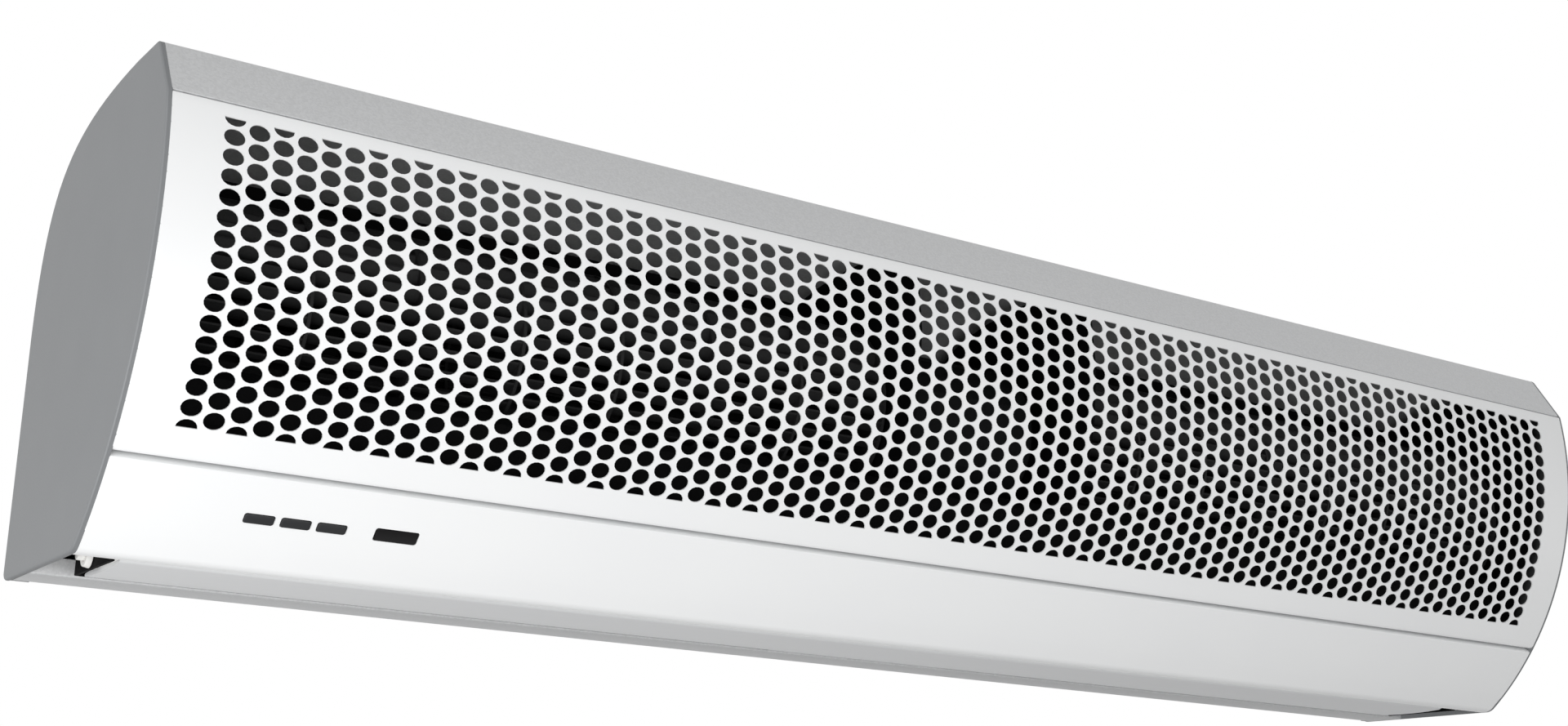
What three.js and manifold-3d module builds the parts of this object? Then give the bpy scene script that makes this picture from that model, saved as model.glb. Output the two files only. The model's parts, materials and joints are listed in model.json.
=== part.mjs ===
// Wall-hung air curtain: a cross-flow fan unit that blows a sheet of air down over a doorway.
// Millimetres. X runs along the unit, the front faces -Y, the wall is at Y = 0 and Z is up.
// The origin is the middle of the wall plate's back face. Z values below count from the unit's
// underside, and the outermost group then lowers everything by hangHeight.

import * as THREE from 'three';
import { mergeVertices } from 'three/addons/utils/BufferGeometryUtils.js';
import Module from 'manifold-3d';

const wasm = await Module();
wasm.setup();

// ---------- driving dimensions ----------

const unitLength = 900;
const unitHeight = 208.5;
const hangHeight = 100; // underside to the middle of the wall plate

const seat = 0.3; // gap between pieces that touch
const runGap = 0.3; // radial gap of a shaft in its bearing

// end profile
const frontArcRadius = 188.5;
const frontArcY = 15.3; // centre of the front arc
const frontArcZ = 146.4;
const coverTopAngle = 10.5; // degrees above the arc's centre
const lowerPanelHeight = 49.5; // foot to the seam, along the arc
const topStripSlope = 56.3; // the grey strip above the cover, degrees from level
const backCurveStartZ = 114; // the back leaves the wall here
const topCurveEndY = -125; // and becomes the level top here
const backCurvePull = 69.7; // handles of the curve between the two
const topCurvePull = 95.7;
const topCurveRise = 3.2;
const cornerRadius = 8;
const topCornerRadius = 4;
const profileSteps = 5; // facets of the front arc above the seam

// sheet metal
const sheetWall = 1.2;
const guideWall = 1;
const flangeWidth = 8;
const plateNest = 4; // recess in the back that takes the wall plate
const seamChamfer = 0.9;

// perforated intake
const holeColumnPitch = 40;
const holeRowPitch = 26.2;
const holeRows = 5;
const holeWidth = 31;
const holeHeight = 20;
const holeMargin = 24.5; // solid cover beyond the first and last column
const holeTopInset = 6.4; // solid cover above the first row, along the arc
const holeSides = 6;

// end caps
const capRim = 2; // visible width of the cap, along X
const capWall = 2.5;
const capEdgeRadius = 1.2;
const spigotLength = 8;
const spigotWall = 1.8;

// fan
const fanY = -92;
const fanZ = 118;
const impellerRadius = 47;
const bladeDepth = 9; // radial
const bladeWall = 1.2;
const bladeCount = 14;
const bladeLean = 28; // degrees between a blade's root and its tip
const discWall = 2;
const discsBetween = 1;
const discSides = 18;
const shaftRadius = 4;
const hubRadius = 13;
const hubLength = 12;
const shaftGap = 1.3; // hub face to the partition
const runningGap = 4; // impeller to the bearing bracket

// air path
const frontLipWidth = 6.44; // underside of the front panel, from the foot of its arc
const outletRearY = -33;
const tongueGap = 5.7; // impeller to the tongue
const tongueAngle = 227; // degrees round the fan axis, from +Y towards +Z
const tongueNose = 6;
const guideFootHeight = 11;
const scrollStartAngle = 75;
const scrollEndAngle = -20;
const scrollStartGap = 6;
const scrollEndGap = 17;
const scrollLip = 10;

// side plates
const bracketWall = 1.5;
const bracketInset = 10; // plate edge to the outer skin
const bracketEndGap = 22; // bracket's inner face to the unit's end
const plateFlange = 12;
const partitionGap = 4; // motor to the partition

// bearings
const bearingRadius = 11;
const bearingLength = 7.5;
const bushRadius = 17;
const bushNeck = 14.2;
const bushLip = 2;

// motor
const motorRadius = 40;
const motorLength = 92;
const motorBossRadius = 18;
const motorBossLength = 8;
const ringRadius = 24;
const ringLength = 6;
const cheekWall = 2;
const strapWall = 1.8;
const earHeight = 12;

// louvre
const louvreOffset = 4; // pivot axis behind the middle of the outlet
const louvreZ = 6.2;
const louvreSideGap = 7; // edge to the outlet's lip
const louvreNose = 4.2;
const louvreWall = 1.8;
const louvreCamber = 3;
const louvreEndGap = 26; // louvre end to the unit's end
const pivotRadius = 2.5;
const pivotPlate = 2;
const louvreBushRadius = 4.2;
const louvreBushFlange = 5.7;

// controls, on the lower panel
const controlHeight = 28.1; // above the panel's foot, along the arc
const buttonWidth = 13;
const buttonHeight = 4.4;
const buttonPitch = 16.2;
const firstButtonX = 70.7; // centre, from the left end
const buttonProud = 0.6;
const buttonTravel = 1.2;
const buttonFlange = 1.2;
const windowWidth = 20;
const windowHeight = 6;
const windowX = 133;
const boardDepth = 10.5; // outer skin to the board
const boardWall = 1.6;
const boardHeight = 18;
const boardMargin = 8;
const switchSize = 6;
const stemSize = 3;

// wall plate
const wallPlateLength = 600;
const wallPlateBottom = 62;
const wallPlateTop = 138;
const wallPlateWall = 2;
const hookPositions = [120, 260];
const hookWidth = 14;
const hookRise = 6;
const hookWall = 2.4;
const slotTop = 132;
const slotHeight = 15;
const wallScrewRadius = 3;

// screws
const screwRadius = 1.5;
const screwHead = 3;
const screwHeadHeight = 1.7;
const screwHole = 1.9;

// electrics on the back panel
const controlBoardGap = 25; // to the partition's flange
const controlBoardLength = 110;
const controlBoardHeight = 60;
const controlBoardZ = 62;
const standoff = 5;
const standoffInset = 6; // from the board's edges
const componentInset = 10;
const transformerWidth = 25;
const transformerHeight = 28;
const transformerDepth = 14;
const relayWidth = 16;
const relayHeight = 24;
const relayDepth = 12;
const plugWidth = 26;
const plugHeight = 10;
const plugDepth = 9;
const capacitorGap = 11; // to the control board
const capacitorWidth = 38;
const capacitorHeight = 28;
const capacitorDepth = 16;
const capacitorEar = 12;
const capacitorZ = 70;
const cableFromLeft = 60;
const terminalToCable = 52;
const terminalWays = 5;
const terminalPitch = 9;
const terminalHeight = 20;
const terminalDepth = 16;
const cableZ = 70;
const cableRadius = 6;
const grommetRadius = 10;

const paint = {
  white: { color: 0xf1f2f3, roughness: 0.38, metalness: 0 },
  silver: { color: 0xb9babc, roughness: 0.45, metalness: 0.2 },
  capGrey: { color: 0xaeb0b2, roughness: 0.5, metalness: 0 },
  steel: { color: 0x9fa3a6, roughness: 0.45, metalness: 0.8 },
  bright: { color: 0xc9ccd0, roughness: 0.3, metalness: 0.9 },
  aluminium: { color: 0xc4c6c8, roughness: 0.35, metalness: 0.7 },
  fanBlack: { color: 0x17181a, roughness: 0.6, metalness: 0 },
  rubber: { color: 0x151515, roughness: 0.9, metalness: 0 },
  bronze: { color: 0x8a6b3e, roughness: 0.5, metalness: 0.7 },
  motor: { color: 0x2a2c2f, roughness: 0.5, metalness: 0.4 },
  button: { color: 0x55585b, roughness: 0.5, metalness: 0 },
  lens: { color: 0x0c0a0c, roughness: 0.12, metalness: 0 },
  board: { color: 0x24563a, roughness: 0.5, metalness: 0 },
  nylon: { color: 0xd9dad8, roughness: 0.55, metalness: 0 },
  capacitor: { color: 0x1c1d20, roughness: 0.4, metalness: 0 },
};

// ---------- helpers ----------

const rad = THREE.MathUtils.degToRad;
const halfLength = unitLength / 2;
const bracketX = halfLength - bracketEndGap;
const motorHalf = motorLength / 2;
const motorEnd = motorHalf + motorBossLength;
const partitionX = motorEnd + partitionGap;
const controlBoardX = -(partitionX + plateFlange + controlBoardGap + controlBoardLength / 2);
const cableX = cableFromLeft - halfLength;
const skinEnd = halfLength - capRim - seat; // skins stop just short of the caps
const flangeEnd = halfLength - capRim - spigotLength - seat; // flanges stop short of the spigots
const sides = [['left', -1], ['right', 1]];

const p = (y, z) => new THREE.Vector2(y, z);

const solid = (geometry) => {
  const plain = geometry.index ? geometry.toNonIndexed() : geometry.clone();
  plain.deleteAttribute('normal');
  plain.deleteAttribute('uv');
  const merged = mergeVertices(plain, 1e-4);
  return new wasm.Manifold(new wasm.Mesh({
    numProp: 3,
    vertProperties: new Float32Array(merged.attributes.position.array),
    triVerts: new Uint32Array(merged.index.array),
  }));
};

const geometryOf = (manifold) => {
  const mesh = manifold.getMesh();
  const geometry = new THREE.BufferGeometry();
  geometry.setAttribute('position', new THREE.BufferAttribute(mesh.vertProperties, 3));
  geometry.setIndex(new THREE.BufferAttribute(mesh.triVerts, 1));
  geometry.computeVertexNormals();
  return geometry;
};

const join = (...parts) => geometryOf(parts.map(solid).reduce((a, b) => a.add(b)));

const cut = (body, ...tools) => geometryOf(
  tools.map(solid).reduce((a, b) => a.subtract(b), solid(body)),
);

// a profile in the YZ plane, drawn out along X
const alongX = (points, fromX, toX) => {
  const geometry = new THREE.ExtrudeGeometry(new THREE.Shape(points), {
    depth: toX - fromX,
    bevelEnabled: false,
    steps: 1,
  });
  const turn = new THREE.Matrix4().makeBasis(
    new THREE.Vector3(0, 1, 0),
    new THREE.Vector3(0, 0, 1),
    new THREE.Vector3(1, 0, 0),
  );
  return geometry.applyMatrix4(turn).translate(fromX, 0, 0);
};

const box = (x0, x1, y0, y1, z0, z1) => new THREE.BoxGeometry(x1 - x0, y1 - y0, z1 - z0)
  .translate((x0 + x1) / 2, (y0 + y1) / 2, (z0 + z1) / 2);

// revolved about X: the profile is a list of [x, radius] that closes on itself
const turned = (profile, y, z, segments = 16) => {
  const points = profile.map(([x, r]) => new THREE.Vector2(r, x));
  const closed = [...points, points[0].clone()];
  return new THREE.LatheGeometry(closed, segments)
    .rotateZ(-Math.PI / 2)
    .translate(0, y, z);
};

const rod = (x0, x1, radius, y, z, segments = 14) => new THREE.CylinderGeometry(
  radius, radius, x1 - x0, segments,
).rotateZ(-Math.PI / 2).translate((x0 + x1) / 2, y, z);

// a pin along Y
const pinY = (y0, y1, radius, x, z, segments = 8) => new THREE.CylinderGeometry(
  radius, radius, y1 - y0, segments,
).translate(x, (y0 + y1) / 2, z);

const mirrored = (geometry) => {
  const flipped = (geometry.index ? geometry.toNonIndexed() : geometry.clone()).scale(-1, 1, 1);
  const positions = flipped.attributes.position;
  const a = new THREE.Vector3();
  const b = new THREE.Vector3();
  for (let i = 0; i < positions.count; i += 3) {
    a.fromBufferAttribute(positions, i + 1);
    b.fromBufferAttribute(positions, i + 2);
    positions.setXYZ(i + 1, b.x, b.y, b.z);
    positions.setXYZ(i + 2, a.x, a.y, a.z);
  }
  flipped.computeVertexNormals();
  return flipped;
};

// moves every point of an outline inwards along its two edges; open outlines keep square ends
const offset = (points, distance, closed = true) => points.map((point, i) => {
  const n = points.length;
  const before = closed || i > 0 ? points[(i + n - 1) % n] : null;
  const after = closed || i < n - 1 ? points[(i + 1) % n] : null;
  const normal = (a, b) => p(a.y - b.y, b.x - a.x).normalize();
  const n1 = before ? normal(before, point) : normal(point, after);
  const n2 = after ? normal(point, after) : n1;
  const middle = n1.clone().add(n2).normalize();
  return point.clone().addScaledVector(middle, distance / middle.dot(n1));
});

// a sheet of the given wall that follows an open path, on the path's left
const sheet = (path, wall) => [...path, ...offset(path, wall, false).reverse()];

const arcPoint = (angle, inset = 0) => p(
  frontArcY - (frontArcRadius - inset) * Math.cos(rad(angle)),
  frontArcZ + (frontArcRadius - inset) * Math.sin(rad(angle)),
);

const arcBetween = (from, to, steps, inset = 0) => Array.from(
  { length: steps + 1 },
  (_, i) => arcPoint(from + ((to - from) * i) / steps, inset),
);

// rounds the corner at b between a and c
const rounded = (a, b, c, radius, steps = 3) => {
  if (radius < 0.2) return [b.clone()];
  const toA = a.clone().sub(b).normalize();
  const toC = c.clone().sub(b).normalize();
  const half = Math.acos(THREE.MathUtils.clamp(toA.dot(toC), -1, 1)) / 2;
  const reach = radius / Math.tan(half);
  const start = b.clone().addScaledVector(toA, reach);
  const end = b.clone().addScaledVector(toC, reach);
  return new THREE.QuadraticBezierCurve(start, b, end).getPoints(steps);
};

// ---------- end profile ----------

const coverTop = arcPoint(coverTopAngle);
const underAngle = -THREE.MathUtils.radToDeg(Math.asin(frontArcZ / frontArcRadius));
const frontFoot = arcPoint(underAngle);
const degPerMm = 180 / Math.PI / frontArcRadius;
const seamAngle = underAngle + lowerPanelHeight * degPerMm; // where the cover meets the panel
const controlAngle = underAngle + controlHeight * degPerMm;
const outletFrontY = frontFoot.x + frontLipWidth;
const louvreY = (outletFrontY + outletRearY) / 2 + louvreOffset;
const louvreHalfChord = (outletRearY - outletFrontY) / 2 - louvreSideGap;
const stripRun = (unitHeight - coverTop.y) / Math.tan(rad(topStripSlope));
const topFront = p(coverTop.x + stripRun, unitHeight);

const backCurve = new THREE.CubicBezierCurve(
  p(0, backCurveStartZ),
  p(-2.2, backCurveStartZ + backCurvePull),
  p(topCurveEndY + topCurvePull, unitHeight - topCurveRise),
  p(topCurveEndY, unitHeight),
).getPoints(9);

const lowerSteps = 3;

// the end outline drawn in by a distance, up the back, over the top and down the front;
// a recess holds its back off the wall
const inset = (distance, recess = 0) => {
  const sharp = offset([
    p(0, 0),
    ...backCurve,
    topFront,
    ...arcBetween(coverTopAngle, seamAngle, profileSteps),
    ...arcBetween(seamAngle, underAngle, lowerSteps).slice(1),
  ], distance).map((point) => p(Math.min(point.x, -recess), point.y));
  const radii = new Map([
    [0, cornerRadius / 2],
    [backCurve.length + 1, topCornerRadius],
    [sharp.length - 1, cornerRadius],
  ]);
  return sharp.flatMap((point, i) => {
    if (!radii.has(i)) return [point];
    const before = sharp[(i + sharp.length - 1) % sharp.length];
    const after = sharp[(i + 1) % sharp.length];
    return rounded(before, point, after, radii.get(i) - distance);
  });
};

// ---------- bodywork ----------

const model = new THREE.Group();

const add = (name, geometry, look, parent = model) => {
  const mesh = new THREE.Mesh(geometry, new THREE.MeshStandardMaterial(paint[look]));
  mesh.name = name;
  parent.add(mesh);
  return mesh;
};

const backInner = -(plateNest + sheetWall); // inside face of the back panel

// rear casing: strip, top, back and rear underside, folded from one sheet
const casingPath = (() => {
  const top = backCurve.map((point) => p(Math.min(point.x, -plateNest), point.y)).reverse();
  const firstBack = top.findIndex((point) => point.x === -plateNest);
  const edge = coverTop.clone().add(
    topFront.clone().sub(coverTop).setLength(sheetWall + seat),
  );
  return [
    edge,
    ...rounded(coverTop, topFront, p(topCurveEndY, unitHeight), topCornerRadius),
    ...top.slice(0, firstBack + 1),
    ...rounded(p(-plateNest, backCurveStartZ), p(-plateNest, 0), p(outletRearY, 0), cornerRadius / 2),
    p(outletRearY, 0),
  ].reverse();
})();
const casingSkin = alongX(sheet(casingPath, sheetWall), -skinEnd, skinEnd);
const coverFlangeZ = coverTop.y + seat / 2;
const casingTopFlange = box(
  -flangeEnd, flangeEnd,
  coverTop.x + sheetWall / 2, coverTop.x + flangeWidth,
  coverFlangeZ, coverFlangeZ + sheetWall,
);
const casingLip = box(
  -flangeEnd, flangeEnd, outletRearY, outletRearY + sheetWall, 0, flangeWidth,
);

const hookSlots = hookPositions.flatMap((x) => [-x, x]).map((x) => box(
  x - hookWidth / 2 - 1, x + hookWidth / 2 + 1,
  backInner - 1, -plateNest + 1,
  slotTop - slotHeight, slotTop,
));

const controlStandoffs = [-1, 1].flatMap((i) => [-1, 1].map((j) => pinY(
  backInner - standoff, backInner + sheetWall / 2, 3,
  controlBoardX + i * (controlBoardLength / 2 - standoffInset),
  controlBoardZ + j * (controlBoardHeight / 2 - standoffInset),
)));

const capScrewX = halfLength - capRim - spigotLength / 2;
const capScrewZ = [34, 112];
const bracketScrewX = bracketX - plateFlange / 2;
const bracketScrewZ = 100;
const motorScrewZ = [fanZ - 36, fanZ + 10];
const backScrews = [
  ...sides.flatMap(([side, s]) => capScrewZ.map((z, i) => ({
    name: `cap_screw_${side}_${i ? 'upper' : 'lower'}`, x: s * capScrewX, z,
  }))),
  ...sides.map(([side, s]) => ({
    name: `bracket_screw_${side}`, x: s * bracketScrewX, z: bracketScrewZ,
  })),
  ...motorScrewZ.map((z, i) => ({ name: `motor_screw_${i ? 'upper' : 'lower'}`, x: 0, z })),
];
const backHole = ({ x, z }) => pinY(backInner - 9, -plateNest + 1, screwHole, x, z);

add('rear_casing', cut(
  join(casingSkin, casingTopFlange, casingLip, ...controlStandoffs),
  ...hookSlots,
  ...backScrews.map(({ x, z }) => pinY(backInner - 1, -plateNest + 1, screwHole, x, z)),
  pinY(backInner - 1, -plateNest + 1, grommetRadius, cableX, cableZ, 14),
), 'silver');

// perforated front cover
const seamHalf = (seat / 2) * degPerMm;
const chamfer = seamChamfer * degPerMm;
const coverBottom = seamAngle + seamHalf;
const coverSkin = [
  ...arcBetween(coverTopAngle - seamHalf, coverBottom + chamfer, profileSteps),
  arcPoint(coverBottom, seamChamfer),
  ...arcBetween(coverBottom, coverTopAngle - seamHalf, profileSteps, sheetWall),
];
const radialFlange = (edgeAngle, towards) => {
  const near = edgeAngle + towards * (seat / 2) * degPerMm;
  const far = near + towards * sheetWall * degPerMm;
  return alongX([
    arcPoint(near, seamChamfer),
    arcPoint(near, flangeWidth),
    arcPoint(far, flangeWidth),
    arcPoint(far, seamChamfer),
  ], -flangeEnd, flangeEnd);
};

const holeSpan = unitLength - 2 * holeMargin - holeWidth;
const holeColumns = Math.floor(holeSpan / holeColumnPitch / 2) * 2 + 1;
const holeStep = holeSpan / (holeColumns - 1);

const holeTool = (x, angle, height = holeHeight) => {
  const shape = new THREE.Shape(Array.from({ length: holeSides }, (_, i) => {
    const turn = (i * 2 * Math.PI) / holeSides;
    return p((holeWidth / 2) * Math.cos(turn), (height / 2) * Math.sin(turn) * (2 / Math.sqrt(3)));
  }));
  const depth = 12;
  return new THREE.ExtrudeGeometry(shape, { depth, bevelEnabled: false })
    .translate(0, 0, -depth / 2)
    .rotateX(Math.PI / 2)
    .rotateX(-rad(angle))
    .translate(x, arcPoint(angle, sheetWall / 2).x, arcPoint(angle, sheetWall / 2).y);
};

const holeTools = [];
for (let column = 0; column < holeColumns; column += 1) {
  const x = -holeSpan / 2 + column * holeStep;
  const whole = column % 2 === 1;
  const rows = whole ? holeRows : holeRows - 1;
  for (let row = 0; row < rows; row += 1) {
    const along = holeTopInset + (row + (whole ? 0.5 : 1)) * holeRowPitch;
    holeTools.push(holeTool(x, coverTopAngle - along * degPerMm));
  }
}

const coverBody = join(
  alongX(coverSkin, -skinEnd, skinEnd),
  box(
    -flangeEnd, flangeEnd,
    coverTop.x + sheetWall / 2, coverTop.x + flangeWidth,
    coverTop.y - seat / 2 - sheetWall, coverTop.y - seat / 2,
  ),
  radialFlange(seamAngle, 1),
);
add('front_cover', geometryOf(
  solid(coverBody).subtract(wasm.Manifold.union(holeTools.map(solid))),
), 'white');

// lower front panel, with the slots for the buttons and the receiver window
const leftX = (fromLeft) => fromLeft - halfLength;
const controlPoint = arcPoint(controlAngle);
// a body modelled flat, x along the unit, y inwards from the skin, z up the panel
const onPanel = (geometry) => geometry.rotateX(rad(-controlAngle))
  .translate(0, controlPoint.x, controlPoint.y);

const buttons = ['power', 'high_speed', 'low_speed'].map((name, i) => ({
  name, x: leftX(firstButtonX + i * buttonPitch),
}));
const receiverX = leftX(windowX);
const boardFrom = buttons[0].x - buttonWidth / 2 - boardMargin;
const boardTo = receiverX + windowWidth / 2 + boardMargin;
const skinDepth = sheetWall + 0.1; // the curved skin's inside face in the flat frame
const boardPosts = [boardFrom + 4, boardTo - 4].map((x) => onPanel(
  pinY(sheetWall / 2, boardDepth - seat, 2.5, x, 0),
));
const slotInPanel = (x, width, height) => onPanel(
  box(x - width / 2 - seat, x + width / 2 + seat, -3, 4, -height / 2 - seat, height / 2 + seat),
);

const lowerTop = seamAngle - seamHalf;
const lowerSkin = (() => {
  const straight = underAngle + 4;
  const outer = [
    ...arcBetween(lowerTop - chamfer, straight, lowerSteps),
    ...rounded(arcPoint(straight), frontFoot, p(outletFrontY, 0), cornerRadius / 2),
    p(outletFrontY, 0),
  ];
  const inner = offset(outer, sheetWall, false).slice(1).reverse();
  return [arcPoint(lowerTop, seamChamfer), ...outer, ...inner, arcPoint(lowerTop, sheetWall)];
})();
add('lower_front_panel', cut(
  join(
    alongX(lowerSkin, -skinEnd, skinEnd),
    radialFlange(seamAngle, -1),
    box(-flangeEnd, flangeEnd, outletFrontY - sheetWall, outletFrontY, 0, flangeWidth),
    ...boardPosts,
  ),
  ...buttons.map(({ x }) => slotInPanel(x, buttonWidth, buttonHeight)),
  slotInPanel(receiverX, windowWidth, windowHeight),
), 'white');

// end caps: a dished face with a soft edge, and a spigot that slides inside the skins
const rightCap = (() => {
  const shell = new THREE.ExtrudeGeometry(new THREE.Shape(inset(capEdgeRadius)), {
    depth: capRim,
    bevelEnabled: true,
    bevelSize: capEdgeRadius,
    bevelThickness: capEdgeRadius,
    bevelSegments: 2,
  }).applyMatrix4(new THREE.Matrix4().makeBasis(
    new THREE.Vector3(0, 1, 0), new THREE.Vector3(0, 0, 1), new THREE.Vector3(1, 0, 0),
  )).translate(halfLength - capRim - capEdgeRadius, 0, 0);
  const rimStart = halfLength - capRim;
  const faceInside = halfLength - capWall;
  const spigotInset = sheetWall + seat;
  const recess = plateNest + sheetWall + seat;
  const spigotFrom = rimStart - spigotLength;
  const spigot = alongX(inset(spigotInset, recess), spigotFrom, rimStart + capWall / 2);
  const hollow = alongX(
    inset(spigotInset + spigotWall, recess + spigotWall), spigotFrom - 1, faceInside,
  );
  const lugs = capScrewZ.map((z) => box(
    spigotFrom, faceInside + 0.5, -recess - 8, -recess - 0.5, z - 5, z + 5,
  ));
  const body = solid(shell)
    .subtract(solid(box(0, rimStart, -400, 100, -100, 400)))
    .add(solid(spigot))
    .subtract(solid(hollow));
  const holes = backScrews.filter(({ name }) => name.startsWith('cap_screw_right')).map(backHole);
  return cut(join(geometryOf(body), ...lugs), ...holes);
})();
add('end_cap_right', rightCap, 'capGrey');
add('end_cap_left', mirrored(rightCap), 'capGrey');

// wall plate with its hooks
const wallPlateBody = (() => {
  const half = wallPlateLength / 2;
  const plate = box(-half, half, -wallPlateWall, 0, wallPlateBottom, wallPlateTop);
  const hooks = hookPositions.flatMap((x) => [-x, x]).flatMap((x) => {
    const rest = slotTop - seat;
    const lipFrom = backInner - seat - hookWall;
    return [
      box(x - hookWidth / 2, x + hookWidth / 2, lipFrom, -wallPlateWall / 2, rest - hookWall, rest),
      box(x - hookWidth / 2, x + hookWidth / 2, lipFrom, backInner - seat,
        rest - hookWall, rest + hookRise),
    ];
  });
  const wallHoles = [-1, 1].flatMap((i) => [-1, 1].map((j) => pinY(
    -wallPlateWall - 1, 1, wallScrewRadius, i * (half - 20),
    (wallPlateTop + wallPlateBottom) / 2 + (j * (wallPlateTop - wallPlateBottom - 24)) / 2,
  )));
  const windows = [-1, 1].flatMap((i) => [60, 190].map((x) => box(
    i * x - 35, i * x + 35, -wallPlateWall - 1, 1, wallPlateBottom + 22, wallPlateTop - 32,
  )));
  return cut(join(plate, ...hooks), ...wallHoles, ...windows);
})();
add('wall_plate', wallPlateBody, 'steel');

// ---------- air path ----------

const aroundFan = (angle, radius) => p(
  fanY + radius * Math.cos(rad(angle)), fanZ + radius * Math.sin(rad(angle)),
);

const tongueTip = aroundFan(tongueAngle, impellerRadius + tongueGap);
const guideEnd = bracketX - seat;
const seamInside = arcPoint(lowerTop - sheetWall * degPerMm, flangeWidth + seat + guideWall);
const guideFoot = outletFrontY + seat;
const guidePath = [
  p(guideFoot, 1),
  p(guideFoot, guideFootHeight),
  ...rounded(
    p(guideFoot, guideFootHeight),
    tongueTip,
    p(tongueTip.x - tongueNose, tongueTip.y - tongueNose / 2),
    tongueNose / 3,
  ),
  p(tongueTip.x - tongueNose, tongueTip.y - tongueNose),
  seamInside,
].reverse();
add('front_air_guide', alongX(sheet(guidePath, guideWall), -guideEnd, guideEnd), 'steel');

const scrollPath = (() => {
  const steps = 10;
  const growth = (scrollEndGap - scrollStartGap) / steps;
  const turn = (scrollEndAngle - scrollStartAngle) / steps;
  const curve = Array.from({ length: steps + 1 }, (_, i) => aroundFan(
    scrollStartAngle + i * turn, impellerRadius + scrollStartGap + i * growth,
  ));
  const start = curve[0];
  return [
    p(start.x - 2, start.y + scrollLip),
    ...curve,
    p(outletRearY - seat - guideWall, guideFootHeight),
    p(outletRearY - seat - guideWall, 1),
  ];
})();
const scrollEnds = [partitionX + bracketWall + seat, guideEnd];
for (const [side, s] of sides) {
  const [near, far] = scrollEnds;
  const scroll = alongX(sheet(scrollPath, guideWall), near, far);
  add(`rear_scroll_${side}`, s < 0 ? mirrored(scroll) : scroll, 'steel');
}

// side plates: bearing brackets at the ends, partitions beside the motor
const plateProfile = inset(bracketInset).map(
  (point) => (point.x > -bracketInset - 0.01 ? p(backInner - seat, point.y) : point),
);
const flangeOnBack = (x0, x1) => box(
  x0, x1, backInner - seat - bracketWall, backInner - seat, bracketScrewZ - 45, bracketScrewZ + 32,
);
const louvreSweep = louvreHalfChord + louvreNose + 1;
const rightBracket = cut(
  join(
    alongX(plateProfile, bracketX, bracketX + bracketWall),
    flangeOnBack(bracketX - plateFlange, bracketX + bracketWall / 2),
    box(bracketX, bracketX + bracketWall, outletFrontY + 6, outletRearY - 6,
      seat, bracketInset + 1),
  ),
  rod(bracketX - 1, bracketX + bracketWall + 1, bushNeck + seat, fanY, fanZ, 20),
  rod(bracketX - 1, bracketX + bracketWall + 1, louvreBushRadius + seat, louvreY, louvreZ, 16),
  pinY(backInner - 4, backInner + 1, screwHole, bracketScrewX, bracketScrewZ),
);
add('bearing_bracket_right', rightBracket, 'steel');
add('bearing_bracket_left', mirrored(rightBracket), 'steel');

const rightPartition = cut(
  join(
    alongX(plateProfile, partitionX, partitionX + bracketWall),
    flangeOnBack(partitionX + bracketWall / 2, partitionX + plateFlange),
  ),
  alongX([
    p(guideFoot + 2 * guideWall, -10),
    p(guideFoot + 2 * guideWall, guideFootHeight),
    p(tongueTip.x + 3 * guideWall, tongueTip.y + guideWall),
    p(tongueTip.x, tongueTip.y + 3 * guideWall),
    p(-300, tongueTip.y + 3 * guideWall),
    p(-300, -10),
  ], partitionX - 1, partitionX + bracketWall + 1),
  rod(partitionX - 1, partitionX + bracketWall + 1, hubRadius + 2, fanY, fanZ, 16),
  rod(partitionX - 1, partitionX + bracketWall + 1, louvreSweep, louvreY, louvreZ, 24),
);
add('partition_right', rightPartition, 'steel');
add('partition_left', mirrored(rightPartition), 'steel');

// ---------- fan ----------

const impellerFrom = partitionX + bracketWall + shaftGap + 1;
const impellerTo = bracketX - runningGap - 4;
const rootRadius = impellerRadius - bladeDepth;

const bladeOutline = (() => {
  const around = (angle, radius) => p(radius * Math.cos(angle), radius * Math.sin(angle));
  const lean = rad(bladeLean) / 2;
  const root = around(-lean / 2, rootRadius);
  const tip = around(lean / 2, impellerRadius - bladeWall / 2);
  const belly = around(-lean / 6, (rootRadius + impellerRadius) / 2 + 1);
  const middle = new THREE.QuadraticBezierCurve(root, belly, tip).getPoints(2);
  return [...middle, ...offset(middle, bladeWall, false).reverse()];
})();

const impeller = (() => {
  const at = (points) => points.map((point) => p(point.x + fanY, point.y + fanZ));
  const blades = Array.from({ length: bladeCount }, (_, i) => {
    const turn = (i * 2 * Math.PI) / bladeCount;
    const points = bladeOutline.map((point) => point.clone().rotateAround(p(0, 0), turn));
    return solid(alongX(at(points), impellerFrom + discWall / 2, impellerTo - discWall / 2));
  });
  const ring = (x, outer, inner) => turned([
    [x, inner], [x, outer], [x + discWall, outer], [x + discWall, inner],
  ], fanY, fanZ, discSides);
  const length = impellerTo - impellerFrom;
  const rings = Array.from({ length: discsBetween }, (_, i) => ring(
    impellerFrom + ((i + 1) * length) / (discsBetween + 1) - discWall / 2,
    impellerRadius, rootRadius - 2,
  ));
  const hubSide = ring(impellerFrom, impellerRadius, hubRadius + seat);
  const endDisc = turned([
    [impellerTo - discWall - 8, shaftRadius + seat],
    [impellerTo - discWall - 8, shaftRadius * 2.2],
    [impellerTo - discWall, shaftRadius * 2.2],
    [impellerTo - discWall, impellerRadius],
    [impellerTo, impellerRadius],
    [impellerTo, shaftRadius + seat],
  ], fanY, fanZ, discSides);
  return geometryOf(wasm.Manifold.union([
    ...blades, ...rings.map(solid), solid(hubSide), solid(endDisc),
  ]));
})();
add('impeller_right', impeller, 'fanBlack');
add('impeller_left', mirrored(impeller), 'fanBlack');

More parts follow.
